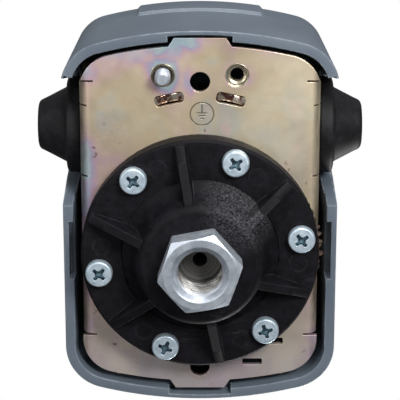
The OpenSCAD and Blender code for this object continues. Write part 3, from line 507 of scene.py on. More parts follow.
class Shader(Net):
    """A material's tree with its Principled shader; effect() adds one of the shared groups."""

    SOCKETS = {"color": "Base Color", "metal": "Metallic", "rough": "Roughness", "normal": "Normal",
               "spec": "Specular IOR Level"}

    def __init__(self, name):
        self.material = bpy.data.materials.new(name)
        self.material.use_nodes = True
        super().__init__(self.material.node_tree)
        self.surface = self.tree.nodes["Principled BSDF"]
        self.place = self.add("ShaderNodeTexCoord").outputs["Object"]

    def effect(self, name, **inputs):
        tree = bpy.data.node_groups.get(name) or GROUPS[name]()
        return self.add("ShaderNodeGroup", inputs, node_tree=tree).outputs

    def wear(self, width, breakup):
        return self.effect("PS Edge Wear", Width=width, Breakup=breakup)["Mask"]

    def scuffs(self, scale, amount):
        return self.effect("PS Scuffs", Scale=scale, Amount=amount)["Mask"]

    def grain(self, scale, strength, depth):
        return self.effect("PS Grain", Scale=scale, Strength=strength, Depth=depth)["Normal"]

    def tones(self, noise, lo, hi, first, second):
        """Mix of two display colours by a noise that runs from lo to hi."""
        return self.mix(self.spread(noise, lo, hi), srgb(*first), srgb(*second))

    def set(self, **values):
        """Plugs values into the Principled shader; returns the material."""
        for key, value in values.items():
            self.plug(self.surface.inputs[self.SOCKETS[key]], value)
        return self.material


def mottled(name, noise, tones, rough, grain, wear=None, **values):
    """Material of one noise (scale, detail, roughness) that mixes two tones and sets the roughness, over a
    fine grain. wear is the width, breakup, share and display colour of its worn edges."""
    s = Shader(name)
    mottle = s.noise(s.place, *noise)
    base = s.tones(mottle, *tones)
    if wear:
        width, breakup, share, *rgb = wear
        base = s.over(base, s.wear(width, breakup), share, *rgb)
    return s.set(color=base, rough=s.spread(mottle, *rough), normal=s.grain(*grain), **values)


# ---------------------------------------------------------------- materials

def mat_cover(name):
    """Grey-blue moulded plastic: fine grain, a slow tone change, pale worn edges and scratches."""
    s = Shader(name)
    tone = s.noise(s.place, 35.0, 3.0, 0.5)
    base = s.tones(tone, 0.35, 0.65, (84, 93, 104), (93, 102, 112))
    pale = s.math("MAXIMUM", s.math("MULTIPLY", s.wear(0.0006, 380.0), 0.75),
                  s.math("MULTIPLY", s.scuffs(70.0, 0.45), 0.38))
    return s.set(color=s.mix(pale, base, srgb(160, 168, 176)), rough=s.spread(tone, 0.3, 0.7, 0.42, 0.52),
                 normal=s.grain(3000.0, 0.35, 0.00004), spec=0.45)


def film_thinning(s, x, y):
    """How much the plate's film is thinned round its holes, towards its front edge and along its folds."""
    thin = 0.0
    for hole, r, reach in ((EARTH, EARTH_HOLE_R, 3.2), ((-EARTH[0], EARTH[1]), EARTH_HOLE_R, 3.2),
                           (MOUNT_FRONT, MOUNT_HOLE_R, 3.6), (MOUNT_BACK, MOUNT_HOLE_R, 2.0)):
        away = s.distance(s.place, (hole[0] * MM, hole[1] * MM, Z_PLATE * MM))
        thin = s.math("MAXIMUM", thin, s.spread(away, (r + reach) * MM, r * MM, 0.0, 0.43))
    thin = s.math("MAXIMUM", thin, s.spread(y, -0.0488, -0.0535, 0.0, 0.46))
    thin = s.math("MAXIMUM", thin, s.spread(s.math("ABSOLUTE", x), 0.0258, 0.0292, 0.0, 0.32))
    broken = s.spread(s.noise(s.place, 240.0, 3.0, 0.6), 0.3, 0.7, 0.6, 1.2)
    return s.math("MULTIPLY", thin, broken)


def mat_plate(name):
    """Yellow-passivated zinc sheet: film colours that thin out at the holes, edges and folds, a stamped
    symbol darkened with painted shade, a painted highlight on the +X side, scuffs, dark spots and a greyer
    back end."""
    s = Shader(name)
    x, y = s.split(s.place)[:2]
    base = s.effect("PS Film", Scale=44.0, Thin=film_thinning(s, x, y))["Color"]
    base = s.over(base, s.spread(y, 0.008, 0.034), 0.68, 198, 186, 196)
    # Painted highlight: a warm, lighter patch on the +X side of the base, where the key light falls
    right = s.math("MULTIPLY", s.spread(x, 0.012, 0.026), s.spread(y, 0.005, -0.02))
    base = s.over(base, right, 0.5, 238, 222, 190)
    mottle = s.noise(s.place, 210.0, 5.0, 0.65)
    base = s.mix(s.spread(mottle, 0.35, 0.75, 0.0, 0.3), base, srgb(140, 130, 116))
    cloud = s.noise(s.place, 62.0, 3.0, 0.55)
    base = s.mix(s.spread(cloud, 0.5, 0.66, 0.0, 0.34), base, srgb(150, 132, 126))
    base = s.mix(s.spread(cloud, 0.48, 0.36, 0.0, 0.3), base, srgb(236, 224, 200))
    streak = s.noise(s.stretched(s.place, 1.0, 0.22, 1.0), 420.0, 4.0, 0.6)
    fold_mark = s.math("MULTIPLY", s.spread(s.math("ABSOLUTE", x), 0.0289, 0.0301),
                       s.spread(streak, 0.36, 0.62, 0.15, 0.75))
    base = s.mix(fold_mark, base, srgb(92, 88, 72))
    spots = s.spread(s.noise(s.place, 460.0, 2.0, 0.5), 0.66, 0.72)
    left = s.math("MULTIPLY", s.spread(x, -0.012, -0.024), s.spread(y, 0.012, 0.024))
    where = s.math("MAXIMUM", left, s.spread(s.noise(s.place, 70.0, 2.0, 0.5), 0.54, 0.64))
    base = s.over(base, s.math("MULTIPLY", spots, where), 0.7, 72, 62, 60)
    base = s.over(base, s.scuffs(60.0, 0.6), 0.3, 235, 232, 226)
    stamp = s.effect("PS Stamp", Centre=(STAMP_AT[0] * MM, STAMP_AT[1] * MM, Z_PLATE * MM))["Mask"]
    # Painted shade: the stamped symbol's shallow recess is darkened in the colour
    base = s.over(base, stamp, 0.7, 84, 72, 62)
    pressed = s.add("ShaderNodeBump", {"Height": stamp, "Strength": 0.8, "Distance": 0.0002,
                                       "Normal": s.grain(1400.0, 0.22, 0.00005)}, invert=True)
    return s.set(color=base, metal=0.7, rough=s.spread(mottle, 0.3, 0.75, 0.36, 0.54),
                 normal=pressed.outputs[0])


def mat_lance(name):
    """Stretched sheet of the bridge lances: a bright film broken by bronze and violet patches."""
    s = Shader(name)
    patch = s.noise(s.place, 520.0, 3.0, 0.6)
    base = s.tones(patch, 0.46, 0.54, (240, 224, 206), (128, 86, 72))
    base = s.mix(s.spread(patch, 0.62, 0.7), base, srgb(128, 114, 144))
    return s.set(color=base, metal=1.0, rough=s.spread(patch, 0.3, 0.7, 0.14, 0.26),
                 normal=s.grain(1400.0, 0.2, 0.00005))


def mat_drawn(name):
    """Drawn collars of the earth holes, where the film is rubbed down to pale zinc."""
    return mottled(name, (600.0, 4.0, 0.6), (0.35, 0.65, (196, 188, 168), (150, 140, 120)),
                   (0.3, 0.7, 0.24, 0.4), (1800.0, 0.25, 0.00004), metal=0.9)


def mat_flange(name):
    """Black glass-filled plastic: fibre mottle, worn edges, and pale scuffs with painted sheen on the dome's
    upper right.
    """
    s = Shader(name)
    mottle = s.noise(s.place, 380.0, 5.0, 0.7)
    base = s.tones(mottle, 0.4, 0.72, (10, 9, 12), (22, 20, 26))
    # Pale patch on the dome's upper right: partly scuffs, partly painted sheen where the key light falls
    near = s.spread(s.distance(s.place, (0.011, -0.014, (Z_DOME + 5.0) * MM)), 0.0125, 0.004)
    scuff_sheen_noise = s.spread(s.noise(s.place, 1900.0, 4.0, 0.8), 0.44, 0.66)
    x, y = s.split(s.place)[:2]
    on_dome = s.spread(s.radius(x, y), 0.0206, 0.0202)
    scuff_and_sheen = s.math("MULTIPLY", s.math("MULTIPLY", near, scuff_sheen_noise), on_dome)
    pale = s.math("MAXIMUM", s.math("MULTIPLY", s.wear(0.0004, 350.0), 0.09),
                  s.math("MULTIPLY", s.scuffs(80.0, 0.45), 0.12))
    pale = s.math("MAXIMUM", pale, s.math("MULTIPLY", scuff_and_sheen, 0.3))
    return s.set(color=s.mix(pale, base, srgb(150, 150, 156)), rough=s.spread(mottle, 0.3, 0.75, 0.54, 0.7),
                 normal=s.grain(1700.0, 0.5, 0.00006), spec=0.12)


def mat_zinc(name):
    """Bright zinc plating: turning marks about the port's axis, a bluish cast and a brown bore with painted
    shade.
    """
    s = Shader(name)
    turning = s.effect("PS Turning", Centre=(0, 0, 0), Pitch=5200.0, Strength=0.3)
    mottle = s.noise(s.place, 300.0, 5.0, 0.65)
    base = s.tones(mottle, 0.3, 0.7, (160, 168, 178), (196, 202, 210))
    base = s.mix(s.spread(turning["Rings"], 0.45, 0.8, 0.0, 0.3), base, srgb(118, 124, 134))
    x, y, z = s.split(s.place)
    # Painted shade: the bore turns darker and browner from 1.2 to 4.5 mm in from its mouth
    bore = s.math("MULTIPLY", s.spread(s.radius(x, y), 0.0074, 0.0066),
                  s.spread(z, (Z_MOUTH + 1.2) * MM, (Z_MOUTH + 4.5) * MM))
    bore_shade_tones = s.tones(turning["Rings"], 0.42, 0.6, (66, 62, 56), (150, 144, 132))
    base = s.mix(s.math("MULTIPLY", bore, 0.85), base, bore_shade_tones)
    base = s.over(base, s.wear(0.0004, 300.0), 0.6, 236, 240, 246)
    return s.set(color=base, metal=0.72, rough=s.spread(mottle, 0.3, 0.75, 0.4, 0.55),
                 normal=turning["Normal"])


def mat_steel(name):
    """Blue-white zinc-plated steel: soft mottle, dull spots and bright worn edges."""
    s = Shader(name)
    mottle = s.noise(s.place, 700.0, 4.0, 0.6)
    base = s.tones(mottle, 0.3, 0.7, (174, 192, 204), (202, 216, 226))
    dirt = s.spread(s.noise(s.place, 1500.0, 2.0, 0.5), 0.66, 0.75)
    base = s.over(base, dirt, 0.4, 110, 118, 124)
    base = s.over(base, s.wear(0.0003, 600.0), 0.6, 246, 250, 252)
    return s.set(color=base, metal=0.7, rough=s.spread(mottle, 0.3, 0.75, 0.42, 0.56),
                 normal=s.grain(2600.0, 0.2, 0.00003))


def mat_lever(name):
    """Phosphated steel lever: a dark crystalline mottle, oiled, with bright worn edges."""
    return mottled(name, (620.0, 5.0, 0.7), (0.3, 0.7, (38, 40, 42), (66, 68, 68)), (0.3, 0.75, 0.4, 0.58),
                   (2200.0, 0.3, 0.00004), (0.0003, 420.0, 0.5, 150, 152, 152), metal=0.5)


def mat_recess(name):
    """Inside of a cross recess: the same plating, painted darker as the recess's shade and duller, with
    streaks down its walls.
    """
    s = Shader(name)
    streak = s.noise(s.place, 1300.0, 3.0, 0.6)
    # Painted shade: the recess's colours are much darker than the head's plating
    return s.set(color=s.tones(streak, 0.35, 0.7, (66, 88, 100), (120, 146, 158)), metal=1.0,
                 rough=s.spread(streak, 0.3, 0.7, 0.34, 0.5))


def mat_spring(name):
    """Drawn spring wire: dark grey steel with a fine mottle."""
    return mottled(name, (900.0, 4.0, 0.6), (0.3, 0.7, (120, 122, 124), (168, 168, 166)),
                   (0.3, 0.75, 0.28, 0.46), (3500.0, 0.3, 0.00003), metal=1.0)


def mat_rubber(name):
    """Black rubber: a soft sheen, dust in a fine grain and faint scuffs."""
    s = Shader(name)
    dust = s.noise(s.place, 240.0, 5.0, 0.7)
    base = s.tones(dust, 0.45, 0.75, (14, 14, 16), (30, 30, 33))
    base = s.over(base, s.scuffs(110.0, 0.3), 0.2, 110, 110, 112)
    return s.set(color=base, rough=s.spread(dust, 0.3, 0.7, 0.48, 0.64),
                 normal=s.grain(2200.0, 0.3, 0.00005), spec=0.22)


def mat_diaphragm(name):
    """Brown-black rubber with a ragged, brownish flash."""
    s = Shader(name)
    ragged = s.noise(s.place, 900.0, 4.0, 0.7)
    brown = s.math("MULTIPLY", s.spread(ragged, 0.42, 0.62), s.spread(s.split(s.place)[0], 0.0288, 0.0303))
    return s.set(color=s.mix(brown, srgb(17, 16, 17), srgb(104, 84, 66)),
                 rough=s.spread(ragged, 0.3, 0.7, 0.5, 0.72), normal=s.grain(1500.0, 0.5, 0.0001))


def mat_block(name):
    """Dark brown-black thermoset: pressed grain and pale worn edges."""
    return mottled(name, (320.0, 5.0, 0.65), (0.35, 0.7, (38, 28, 23), (58, 44, 36)), (0.3, 0.75, 0.34, 0.5),
                   (2000.0, 0.35, 0.00005), (0.0003, 420.0, 0.45, 128, 112, 100))


def mat_nylon(name):
    """Off-white nylon with a waxy skin and faint yellowing."""
    material = mottled(name, (160.0, 4.0, 0.6), (0.35, 0.7, (226, 222, 208), (206, 196, 172)),
                       (0.3, 0.7, 0.34, 0.48), (1800.0, 0.25, 0.00004))
    surface = material.node_tree.nodes["Principled BSDF"]
    surface.inputs["Subsurface Weight"].default_value = 0.15
    surface.inputs["Subsurface Radius"].default_value = (0.001, 0.0009, 0.0007)
    return material


def mat_brass(name):
    """Brass strip: warm metal with darker tarnish."""
    return mottled(name, (360.0, 5.0, 0.65), (0.35, 0.7, (222, 188, 112), (176, 138, 80)),
                   (0.3, 0.75, 0.26, 0.46), (2400.0, 0.2, 0.00003), (0.0002, 500.0, 0.5, 244, 220, 160),
                   metal=1.0)


MATERIALS = {
    "cover": ("cover_plastic", mat_cover),
    "plate": ("plate_zinc_yellow", mat_plate),
    "lance": ("bridge_lances", mat_lance),
    "drawn": ("drawn_holes", mat_drawn),
    "flange": ("flange_black", mat_flange),
    "zinc": ("port_zinc", mat_zinc),
    "steel": ("screw_steel", mat_steel),
    "lever": ("lever_phosphated", mat_lever),
    "recess": ("screw_recess", mat_recess),
    "spring": ("spring_wire", mat_spring),
    "rubber": ("gland_rubber", mat_rubber),
    "diaphragm": ("diaphragm_rubber", mat_diaphragm),
    "block": ("block_thermoset", mat_block),
    "nylon": ("carrier_nylon", mat_nylon),
    "brass": ("contact_brass", mat_brass),
}


def material_for(finish):
    """The procedural material of a finish, built the first time it is asked for."""
    name, build = MATERIALS[finish]
    return bpy.data.materials.get(name) or build(name)


# ---------------------------------------------------------------- cover

POCKET_Y = (-7.0, 8.8)      # ends of the shallow pocket in each side of the rim
TAB_HW = 8.4                # half width of the rim's recesses for the plate's end tabs
STEP_HALF = 0.03            # half of a step's own width along the outline
PAD_EDGE = (16.4, 17.4)     # where the raised pad of the front wall starts to fall and has fallen
PAD_H = 0.8


def cover_outline():
    """Breakpoints round the cover: arrays of centre C, radius R and outward direction N,
    so that the outline inset by d is C + (R - d) N. Four corner arcs, two end arcs, two straight sides."""
    half_w, front, back, corner = 35.65, 57.6, 42.8, 12.0
    cx, back_y, front_y, back_c, front_c, lean = arched_ends(half_w, front, back, corner)
    steps = np.array(POCKET_Y)
    ys = np.concatenate([GLAND_Y + GLAND_NOTCH_R * np.cos(np.linspace(0, math.pi, 41)),
                         np.arange(-41.5, 27.5, 1.3), GLAND_Y + GLAND_NOTCH_R + np.linspace(0.02, 2.8, 10),
                         steps - STEP_HALF, steps + STEP_HALF])
    ys = np.unique(np.round(ys[(ys > front_y + 0.02) & (ys < back_y - 0.02)], 3))

    def side(sign, order):
        y = ys[::order]
        c = np.stack([np.full(len(y), sign * cx), y], -1)
        return c, np.full(len(y), corner), np.tile([float(sign), 0.0], (len(y), 1))

    def arc(centre, r, angles):
        n = np.stack([np.cos(angles), np.sin(angles)], -1)
        return np.tile(centre, (len(angles), 1)), np.full(len(angles), r), n

    fine = np.concatenate([np.linspace(0, 0.26, 14), np.linspace(0.30, lean, 20)])
    marks = np.array(PAD_EDGE + (TAB_HW - STEP_HALF, TAB_HW + STEP_HALF))
    places = np.unique(np.concatenate([np.linspace(-26.4, 26.4, 45), -marks, marks]))
    angles = np.arcsin(places / ARCH_R)
    parts = [
        side(1, 1),
        arc((cx, back_y), corner, np.linspace(0, lean, 26)),
        arc((0, back_c), ARCH_R, np.sort(math.pi / 2 - angles)),
        arc((-cx, back_y), corner, np.linspace(math.pi - lean, math.pi, 26)),
        side(-1, -1),
        arc((-cx, front_y), corner, math.pi + fine),
        arc((0, front_c), ARCH_R, 1.5 * math.pi + angles),
        arc((cx, front_y), corner, TAU - fine[::-1]),
    ]
    return [np.concatenate([p[k] for p in parts]) for k in range(3)]


def notch_height(y):
    """Lower edge of the cover at a given y: the rim, raised over the glands by flanks and an arch."""
    dy = np.abs(y - GLAND_Y)
    arch = Z_GLAND + np.sqrt(np.clip(GLAND_NOTCH_R ** 2 - dy ** 2, 0, None))
    knee = Z_GLAND - 1.25
    foot, top = GLAND_NOTCH_R + 2.6, GLAND_NOTCH_R - 0.05
    flank = Z_RIM + (knee - Z_RIM) * np.clip((foot - dy) / (foot - top), 0, 1)
    return np.where(dy < GLAND_NOTCH_R - 0.02, np.maximum(arch, knee), flank)


def cover_mesh(settings):
    """Closed torus-like grid. u runs round the outline C + (R - d) N; v runs from the screw hole over the
    top, down the drafted outer wall, across the lip, up the inner wall and round the boss back to the hole.
    On the outer wall d = draft (z - rim) / height; across the top a ring is (1 - t) outline + t circle."""
    wall, draft, edge = settings.wall / MM, settings.draft / MM, settings.edge_radius / MM
    c, r, n = cover_outline()
    top_edge = Z_TOP - edge

    def ring(d, z):
        d = np.broadcast_to(d, r.shape)
        p = c + (r - d)[:, None] * n
        return np.column_stack([p, np.broadcast_to(z, r.shape)])

    def inset(z):
        return draft * np.clip((z - Z_RIM) / (top_edge - Z_RIM), 0, 1)

    hub = np.array(COVER_SCREW)
    outer = ring(draft, Z_TOP)
    away = outer[:, :2] - hub
    away = away / np.linalg.norm(away, axis=1)[:, None]

    def disc(radius, z):
        return np.column_stack([hub + radius * away, np.full(len(r), z)])

    def blend(flat, radius, z, shares):
        """Flat rings between a ring of the outline and a disc's edge, by the disc's share."""
        inner = disc(radius, 0)[:, :2]
        return [np.column_stack([flat[:, :2] * (1 - t) + inner * t, np.full(len(r), z)]) for t in shares]

    x0, y0 = ring(0.0, 0.0)[:, :2].T
    low = notch_height(y0)
    low_in = notch_height(ring(wall, 0.0)[:, 1])
    # Counterbore, top and rounded edge, which follows the raised pad at the top of the front wall
    seat, sink_r, hub_r = Z_TOP - 3.0, 4.3, 6.5
    rows = [disc(COVER_BORE_R, seat), disc(sink_r - 0.3, seat), disc(sink_r, seat + 0.3),
            disc(sink_r, Z_TOP - 0.4), disc(sink_r + 0.12, Z_TOP - 0.12), disc(sink_r + 0.45, Z_TOP),
            disc(hub_r, Z_TOP)]
    rows += blend(ring(draft + edge, Z_TOP), hub_r, Z_TOP, (0.8, 0.6, 0.4, 0.2, 0.08))
    for a in np.linspace(math.pi / 2, 0, 9):
        rows.append(ring(draft + edge * (1 - math.cos(a)), top_edge + edge * math.sin(a)))
    pad = PAD_H * (1 - smooth(np.abs(x0), *PAD_EDGE)) * (y0 < 0)
    for row in rows[-8:]:
        row[:, :2] += pad[:, None] * n
    # Outer wall
    lip = 0.45
    pad_low = top_edge - 12
    heights = [top_edge - 0.4, top_edge - 2, pad_low + 6, pad_low + 0.35, pad_low - 0.35, pad_low - 3]
    heights += list(np.linspace(pad_low - 5, Z_RIM + 3.2, 12)) + [Z_RIM + 1.6, Z_RIM + 0.8]
    for z in heights:
        zz = np.maximum(z, low + lip + 0.02 * (z - Z_RIM))
        rows.append(ring(inset(zz) - pad * smooth(zz, pad_low - 0.3, pad_low + 0.3), zz))
    # Rounded lip, thinner where the end tabs of the plate sit and where the side pockets are
    tab = (np.abs(x0) < TAB_HW) & (np.abs(y0) > 40)
    pocket = (y0 > POCKET_Y[0]) & (y0 < POCKET_Y[1]) & (np.abs(x0) > 30)
    thin = np.where(tab, 1.2, np.where(pocket, wall - 1.2, wall))
    corner = ((0.0, lip), (0.06, 0.17), (0.2, 0.04), (0.45, 0.0))
    lip_in = notch_height(ring(thin, 0.0)[:, 1])
    rows += [ring(d, low + dz) for d, dz in corner]
    rows += [ring(thin - d, lip_in + dz) for d, dz in corner[::-1]]
    step = np.where(tab, 6.0, np.where(pocket, 5.0, 2.0))
    rows.append(ring(thin, np.maximum(Z_RIM + step - 0.05, low_in + lip + 0.1)))
    rows.append(ring(wall, np.maximum(Z_RIM + step + 0.05, low_in + lip + 0.2)))
    # Inner wall, ceiling and screw boss
    inner_top, inner_edge = Z_TOP - wall, 2.6
    for z in np.linspace(Z_RIM + 8, inner_top - 3, 10):
        zz = np.maximum(z, low_in + lip + 0.3 + 0.02 * (z - Z_RIM))
        rows.append(ring(wall + inset(zz), zz))
    for a in np.linspace(0, math.pi / 2, 6)[1:]:
        rows.append(ring(wall + draft + inner_edge * (1 - math.cos(a)),
                         inner_top - inner_edge + inner_edge * math.sin(a)))
    boss, boss_low = 6.25, Z_TOP - 6.6
    rows += blend(ring(wall + draft + inner_edge, inner_top), boss + 0.8, inner_top, (0.25, 0.5, 0.75, 1.0))
    rows += [disc(boss + 0.25, inner_top - 0.25), disc(boss, inner_top - 0.9), disc(boss, boss_low + 0.4),
             disc(boss - 0.4, boss_low), disc(2.3, boss_low), disc(COVER_BORE_R, boss_low + 0.3)]
    return grid_mesh("switch_cover", np.stack(rows, 1), 32)


# ---------------------------------------------------------------- base plate

BEND_X = 28.0               # where the side walls start to bend
BEND_R = 3.0
NEUTRAL = 2.25              # radius of the sheet's middle in the bend
BEND_LEN = NEUTRAL * math.pi / 2
FOLD_Y = (-44.0, 24.5)      # ends of the side walls
WALL_TOP = 24.4
TAB_OUT = 2.0               # how far the end tabs stand out
PISTON_HOLE_R = 14.0
SLOTS_AT = ((13.9, 32.5), (19.4, 26.6))
EAR_X = 20.6
EAR_Y = 31.0                # of the ears and so of the lever's pivot


def flat_of(height):
    """Distance from the flat sheet's middle line to what lies at a height once the sheet is folded."""
    return BEND_X + BEND_LEN + height - BEND_R


def plate_loops():
    """Outline of the unfolded sheet and its holes. The side walls lie flat beside the base,
    each parted from the corner lobes by relief nicks, with a U slot for the gland's neck."""
    half_w, front, back, corner = 31.0, 53.5, 38.0, 9.5
    cx, back_y, front_y, back_c, front_c, lean = arched_ends(half_w, front, back, corner)
    wall, wall_corner = flat_of(WALL_TOP), 1.5
    nick_in, nick = BEND_X - 0.6, 0.5
    slot_r, gland_s = GLAND_NECK_R + 0.15, flat_of(GLAND_H)
    nick_w, nick_end = 0.45, flat_of(BEND_R) - 2.6
    dive = math.acos((slot_r - nick_w) / slot_r)
    slot_low, slot_high = GLAND_Y - slot_r, GLAND_Y + slot_r
    right = [
        arc_points(cx, front_y, corner, 14, -lean, -math.asin((front_y - FOLD_Y[0] + nick) / corner)),
        [(nick_in, FOLD_Y[0] - nick), (nick_in, FOLD_Y[0])],
        arc_points(wall - wall_corner, FOLD_Y[0] + wall_corner, wall_corner, 6, -math.pi / 2, 0),
        [(wall, slot_low), (nick_end, slot_low), (nick_end, slot_low + nick_w)],
        arc_points(gland_s, GLAND_Y, slot_r, 31, 1.5 * math.pi - dive, math.pi / 2 + dive),
        [(nick_end, slot_high - nick_w), (nick_end, slot_high), (wall, slot_high)],
        arc_points(wall - wall_corner, FOLD_Y[1] - wall_corner, wall_corner, 6, 0, math.pi / 2),
        [(nick_in, FOLD_Y[1]), (nick_in, FOLD_Y[1] + nick), (half_w, FOLD_Y[1] + nick)],
        arc_points(cx, back_y, corner, 18, 0, lean),
    ]
    right = np.concatenate([np.array(p, float) for p in right])

    def end_arc(centre, sign, tab_w):
        """Arched end with its tab."""
        foot = tab_w / 2
        x = np.concatenate([np.linspace(cx * 1.06, foot, 9), [foot - 1.5]])
        y = centre + sign * np.sqrt(ARCH_R ** 2 - x ** 2)
        y[-1] = centre + sign * (ARCH_R + TAB_OUT)
        half = np.stack([x, y], -1)
        return np.concatenate([half, half[::-1] * [-1, 1]])

    left = right[::-1] * [-1, 1]
    outline = np.concatenate([right, end_arc(back_c, 1, 16.0), left, end_arc(front_c, -1, 16.2)[::-1]])
    holes = [circle(0, 0, PISTON_HOLE_R, 72)]
    holes += [circle(*at, MOUNT_HOLE_R) for at in (MOUNT_BACK, MOUNT_FRONT)]
    for s in (-1, 1):
        holes.append(circle(s * EARTH[0], EARTH[1], EARTH_HOLE_R))
    for s in (-1, 1):
        holes.append(stadium(s * LANCE_AT[0], LANCE_AT[1], 7.6, 2.9, math.radians(LANCE_TURN * s), 1.1))
    for x, y in SLOTS_AT:
        holes.append(stadium(x, y, 5.2, 1.7, 0, 0.3, 3))
    return outline, holes


def fold(mesh):
    """Wraps the flat sheet round its bend lines. With s = |x| - bend line, a point at depth w turns by
    s / neutral radius on a circle of radius R - w, and beyond the bend it runs straight up the wall."""
    bm = bmesh.new()
    bm.from_mesh(mesh)
    cuts = [((0, y * MM, 0), (0, 1, 0)) for y in FOLD_Y]
    for side in (-1, 1):
        cuts += [((side * (BEND_X + s) * MM, 0, 0), (1, 0, 0)) for s in np.linspace(0, BEND_LEN, 9)]
    for point, normal in cuts:
        whole = bm.verts[:] + bm.edges[:] + bm.faces[:]
        bmesh.ops.bisect_plane(bm, geom=whole, plane_co=point, plane_no=normal)
    bm.to_mesh(mesh)
    bm.free()
    co = np.zeros(len(mesh.vertices) * 3)
    mesh.vertices.foreach_get("co", co)
    co = co.reshape(-1, 3) / MM
    x, y, z = co.T
    w = z - Z_PLATE
    s = np.abs(x) - BEND_X
    angle = np.clip(s, 0, BEND_LEN) / NEUTRAL
    new_x = BEND_X + (BEND_R - w) * np.sin(angle)
    new_z = Z_PLATE + BEND_R - (BEND_R - w) * np.cos(angle) + np.clip(s - BEND_LEN, 0, None)
    inside = (y > FOLD_Y[0] - 0.02) & (y < FOLD_Y[1] + 0.02) & (s > 0)
    co[:, 0] = np.where(inside, np.sign(x) * new_x, x)
    co[:, 2] = np.where(inside, new_z, z)
    mesh.vertices.foreach_set("co", (co * MM).ravel())
    return mesh


def funnel_mesh(side):
    """Extruded earth hole: a rounded mouth drawn into a collar, whose bore of radius
    1.8 + 0.1 cos(2 pi k / 6) at its k-th ring stands for a thread."""
    bore_z = np.arange(Z_PLATE + 1.2, Z_FLOOR + 1.9, 0.117)
    bore = np.stack([1.8 + 0.1 * np.cos(np.arange(len(bore_z)) * TAU / 6), bore_z], -1)
    mouth = rounded([(3.12, Z_PLATE + 0.05), (3.0, Z_PLATE - 0.03), (2.5, Z_PLATE + 0.3),
                     (2.45, Z_PLATE + 0.95), (1.85, Z_PLATE + 1.15)], [0, 0.12, 0.5, 0.12, 0], 6)
    outer = rounded([(1.95, Z_FLOOR + 2.0), (2.75, Z_FLOOR + 2.0), (2.8, Z_FLOOR + 0.2),
                     (3.3, Z_FLOOR - 0.05), (3.3, Z_PLATE + 0.3), (3.12, Z_PLATE + 0.05)],
                    [0, 0.25, 0.4, 0.1, 0, 0], 4)
    return lathe("funnel", np.concatenate([mouth, bore, outer[:-1]]), 56, at=(side * EARTH[0], EARTH[1]))


def lance_mesh(side):
    """Bridge lance: a strip swept along u in [-1, 1] whose height above the sheet is a trapezium with three
    facets on its crown, and with a rounded box section."""
    u = np.linspace(-1, 1, 61)
    rise = np.interp(np.abs(u), [0.0, 0.2, 0.5, 0.94], [1.5, 1.5, 1.15, 0.0])
    a = np.linspace(0, TAU, 33)[:-1]
    half_len, half_w, half_t, power = 4.1, 1.08, 0.6, 7.0
    cw = np.sign(np.cos(a)) * np.abs(np.cos(a)) ** (2 / power) * half_w
    ct = np.sign(np.sin(a)) * np.abs(np.sin(a)) ** (2 / power) * half_t
    x = np.broadcast_to(u[:, None] * half_len, (len(u), len(a)))
    y = np.broadcast_to(cw[None], x.shape)
    z = Z_PLATE + PLATE_T / 2 + rise[:, None] + ct[None]
    turn = math.radians(LANCE_TURN * side)
    px = side * LANCE_AT[0] + x * math.cos(turn) - y * math.sin(turn)
    py = LANCE_AT[1] + x * math.sin(turn) + y * math.cos(turn)
    p = np.stack([px, py, z], -1).transpose(1, 0, 2)
    return grid_mesh("lance", p, 8, capped=True)


def ear_mesh(side):
    """Upright ear with a round top and the hole for the pivot pin, cut from sheet and stood up."""
    pin_r = 2.0
    z_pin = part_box("pivot_pin")[0].z / MM + pin_r
    w, top = 5.0, 4.2
    outline = np.concatenate([[(2.4 - w, Z_PLATE - z_pin + 0.3), (w, Z_PLATE - z_pin + 0.3)],
                              stadium(0, top - w, 2 * w, 2 * w, 0, 4.0, 7)[:14]])
    sheet = sheet_mesh("ear", [outline, circle(0, 0, pin_r + 0.02, 32)], PLATE_T, 0.08)
    x = EAR_X if side > 0 else -EAR_X - PLATE_T
    sheet.transform(axes_matrix((0, 1, 0), (0, 0, 1), (1, 0, 0), (x, EAR_Y, z_pin)))
    return sheet


def plate_mesh():
    """The folded sheet with its funnels, bridge lances and pivot ears."""
    outline, holes = plate_loops()
    sheet = fold(sheet_mesh("sheet", [outline] + holes, PLATE_T, 0.1, Z_PLATE))
    parts = [finished(sheet, 14)]
    for index, build in ((1, lance_mesh), (2, funnel_mesh)):
        for s in (-1, 1):
            part = build(s)
            part.polygons.foreach_set("material_index", np.full(len(part.polygons), index, np.int32))
            parts.append(part)
    parts += [finished(ear_mesh(s), 14) for s in (-1, 1)]
    return joined("switch_plate", parts, 14)


# ---------------------------------------------------------------- flange, diaphragm, port

def flange_mesh():
    """Revolved dome, concave flank and ring, soft at their edges, closed round the shank and the chamber."""
    bore, top_r, shoulder_r, ring_in, ring_out, chamber, inlet = 8.52, 14.0, 2.1, 20.5, 30.8, 19.5, 1.85
    z_chamber, z_floor = Z_BACK - 0.8, Z_BACK - 1.5
    turn = np.radians(np.linspace(-88, -20, 10))
    shoulder = [(top_r + shoulder_r * math.cos(t), Z_DOME + shoulder_r + shoulder_r * math.sin(t))
                for t in turn]
    corners = [(bore, Z_DOME + 0.25), (8.9, Z_DOME)] + shoulder
    corners += [(17.6, Z_RING - 1.6), (ring_in - 0.1, Z_RING + 0.6), (ring_in, Z_RING),
                (ring_out - 0.6, Z_RING), (ring_out, Z_RING + 0.6), (ring_out, Z_BACK), (chamber, Z_BACK),
                (chamber, z_chamber), (inlet, z_chamber), (inlet, z_floor), (bore, z_floor),
                (bore, Z_DOME + 0.25)]
    radii = [0, 0.2] + [0] * len(shoulder) + [6.0, 0.1, 0.1, 0.3, 0.3, 0.2, 0.2, 0.2, 0.1, 0.1, 0.1, 0]
    outer = rounded(corners, radii, 6)
    return lathe("flange_body", resampled(outer[:-1], 1.2), 168, sharp=34)


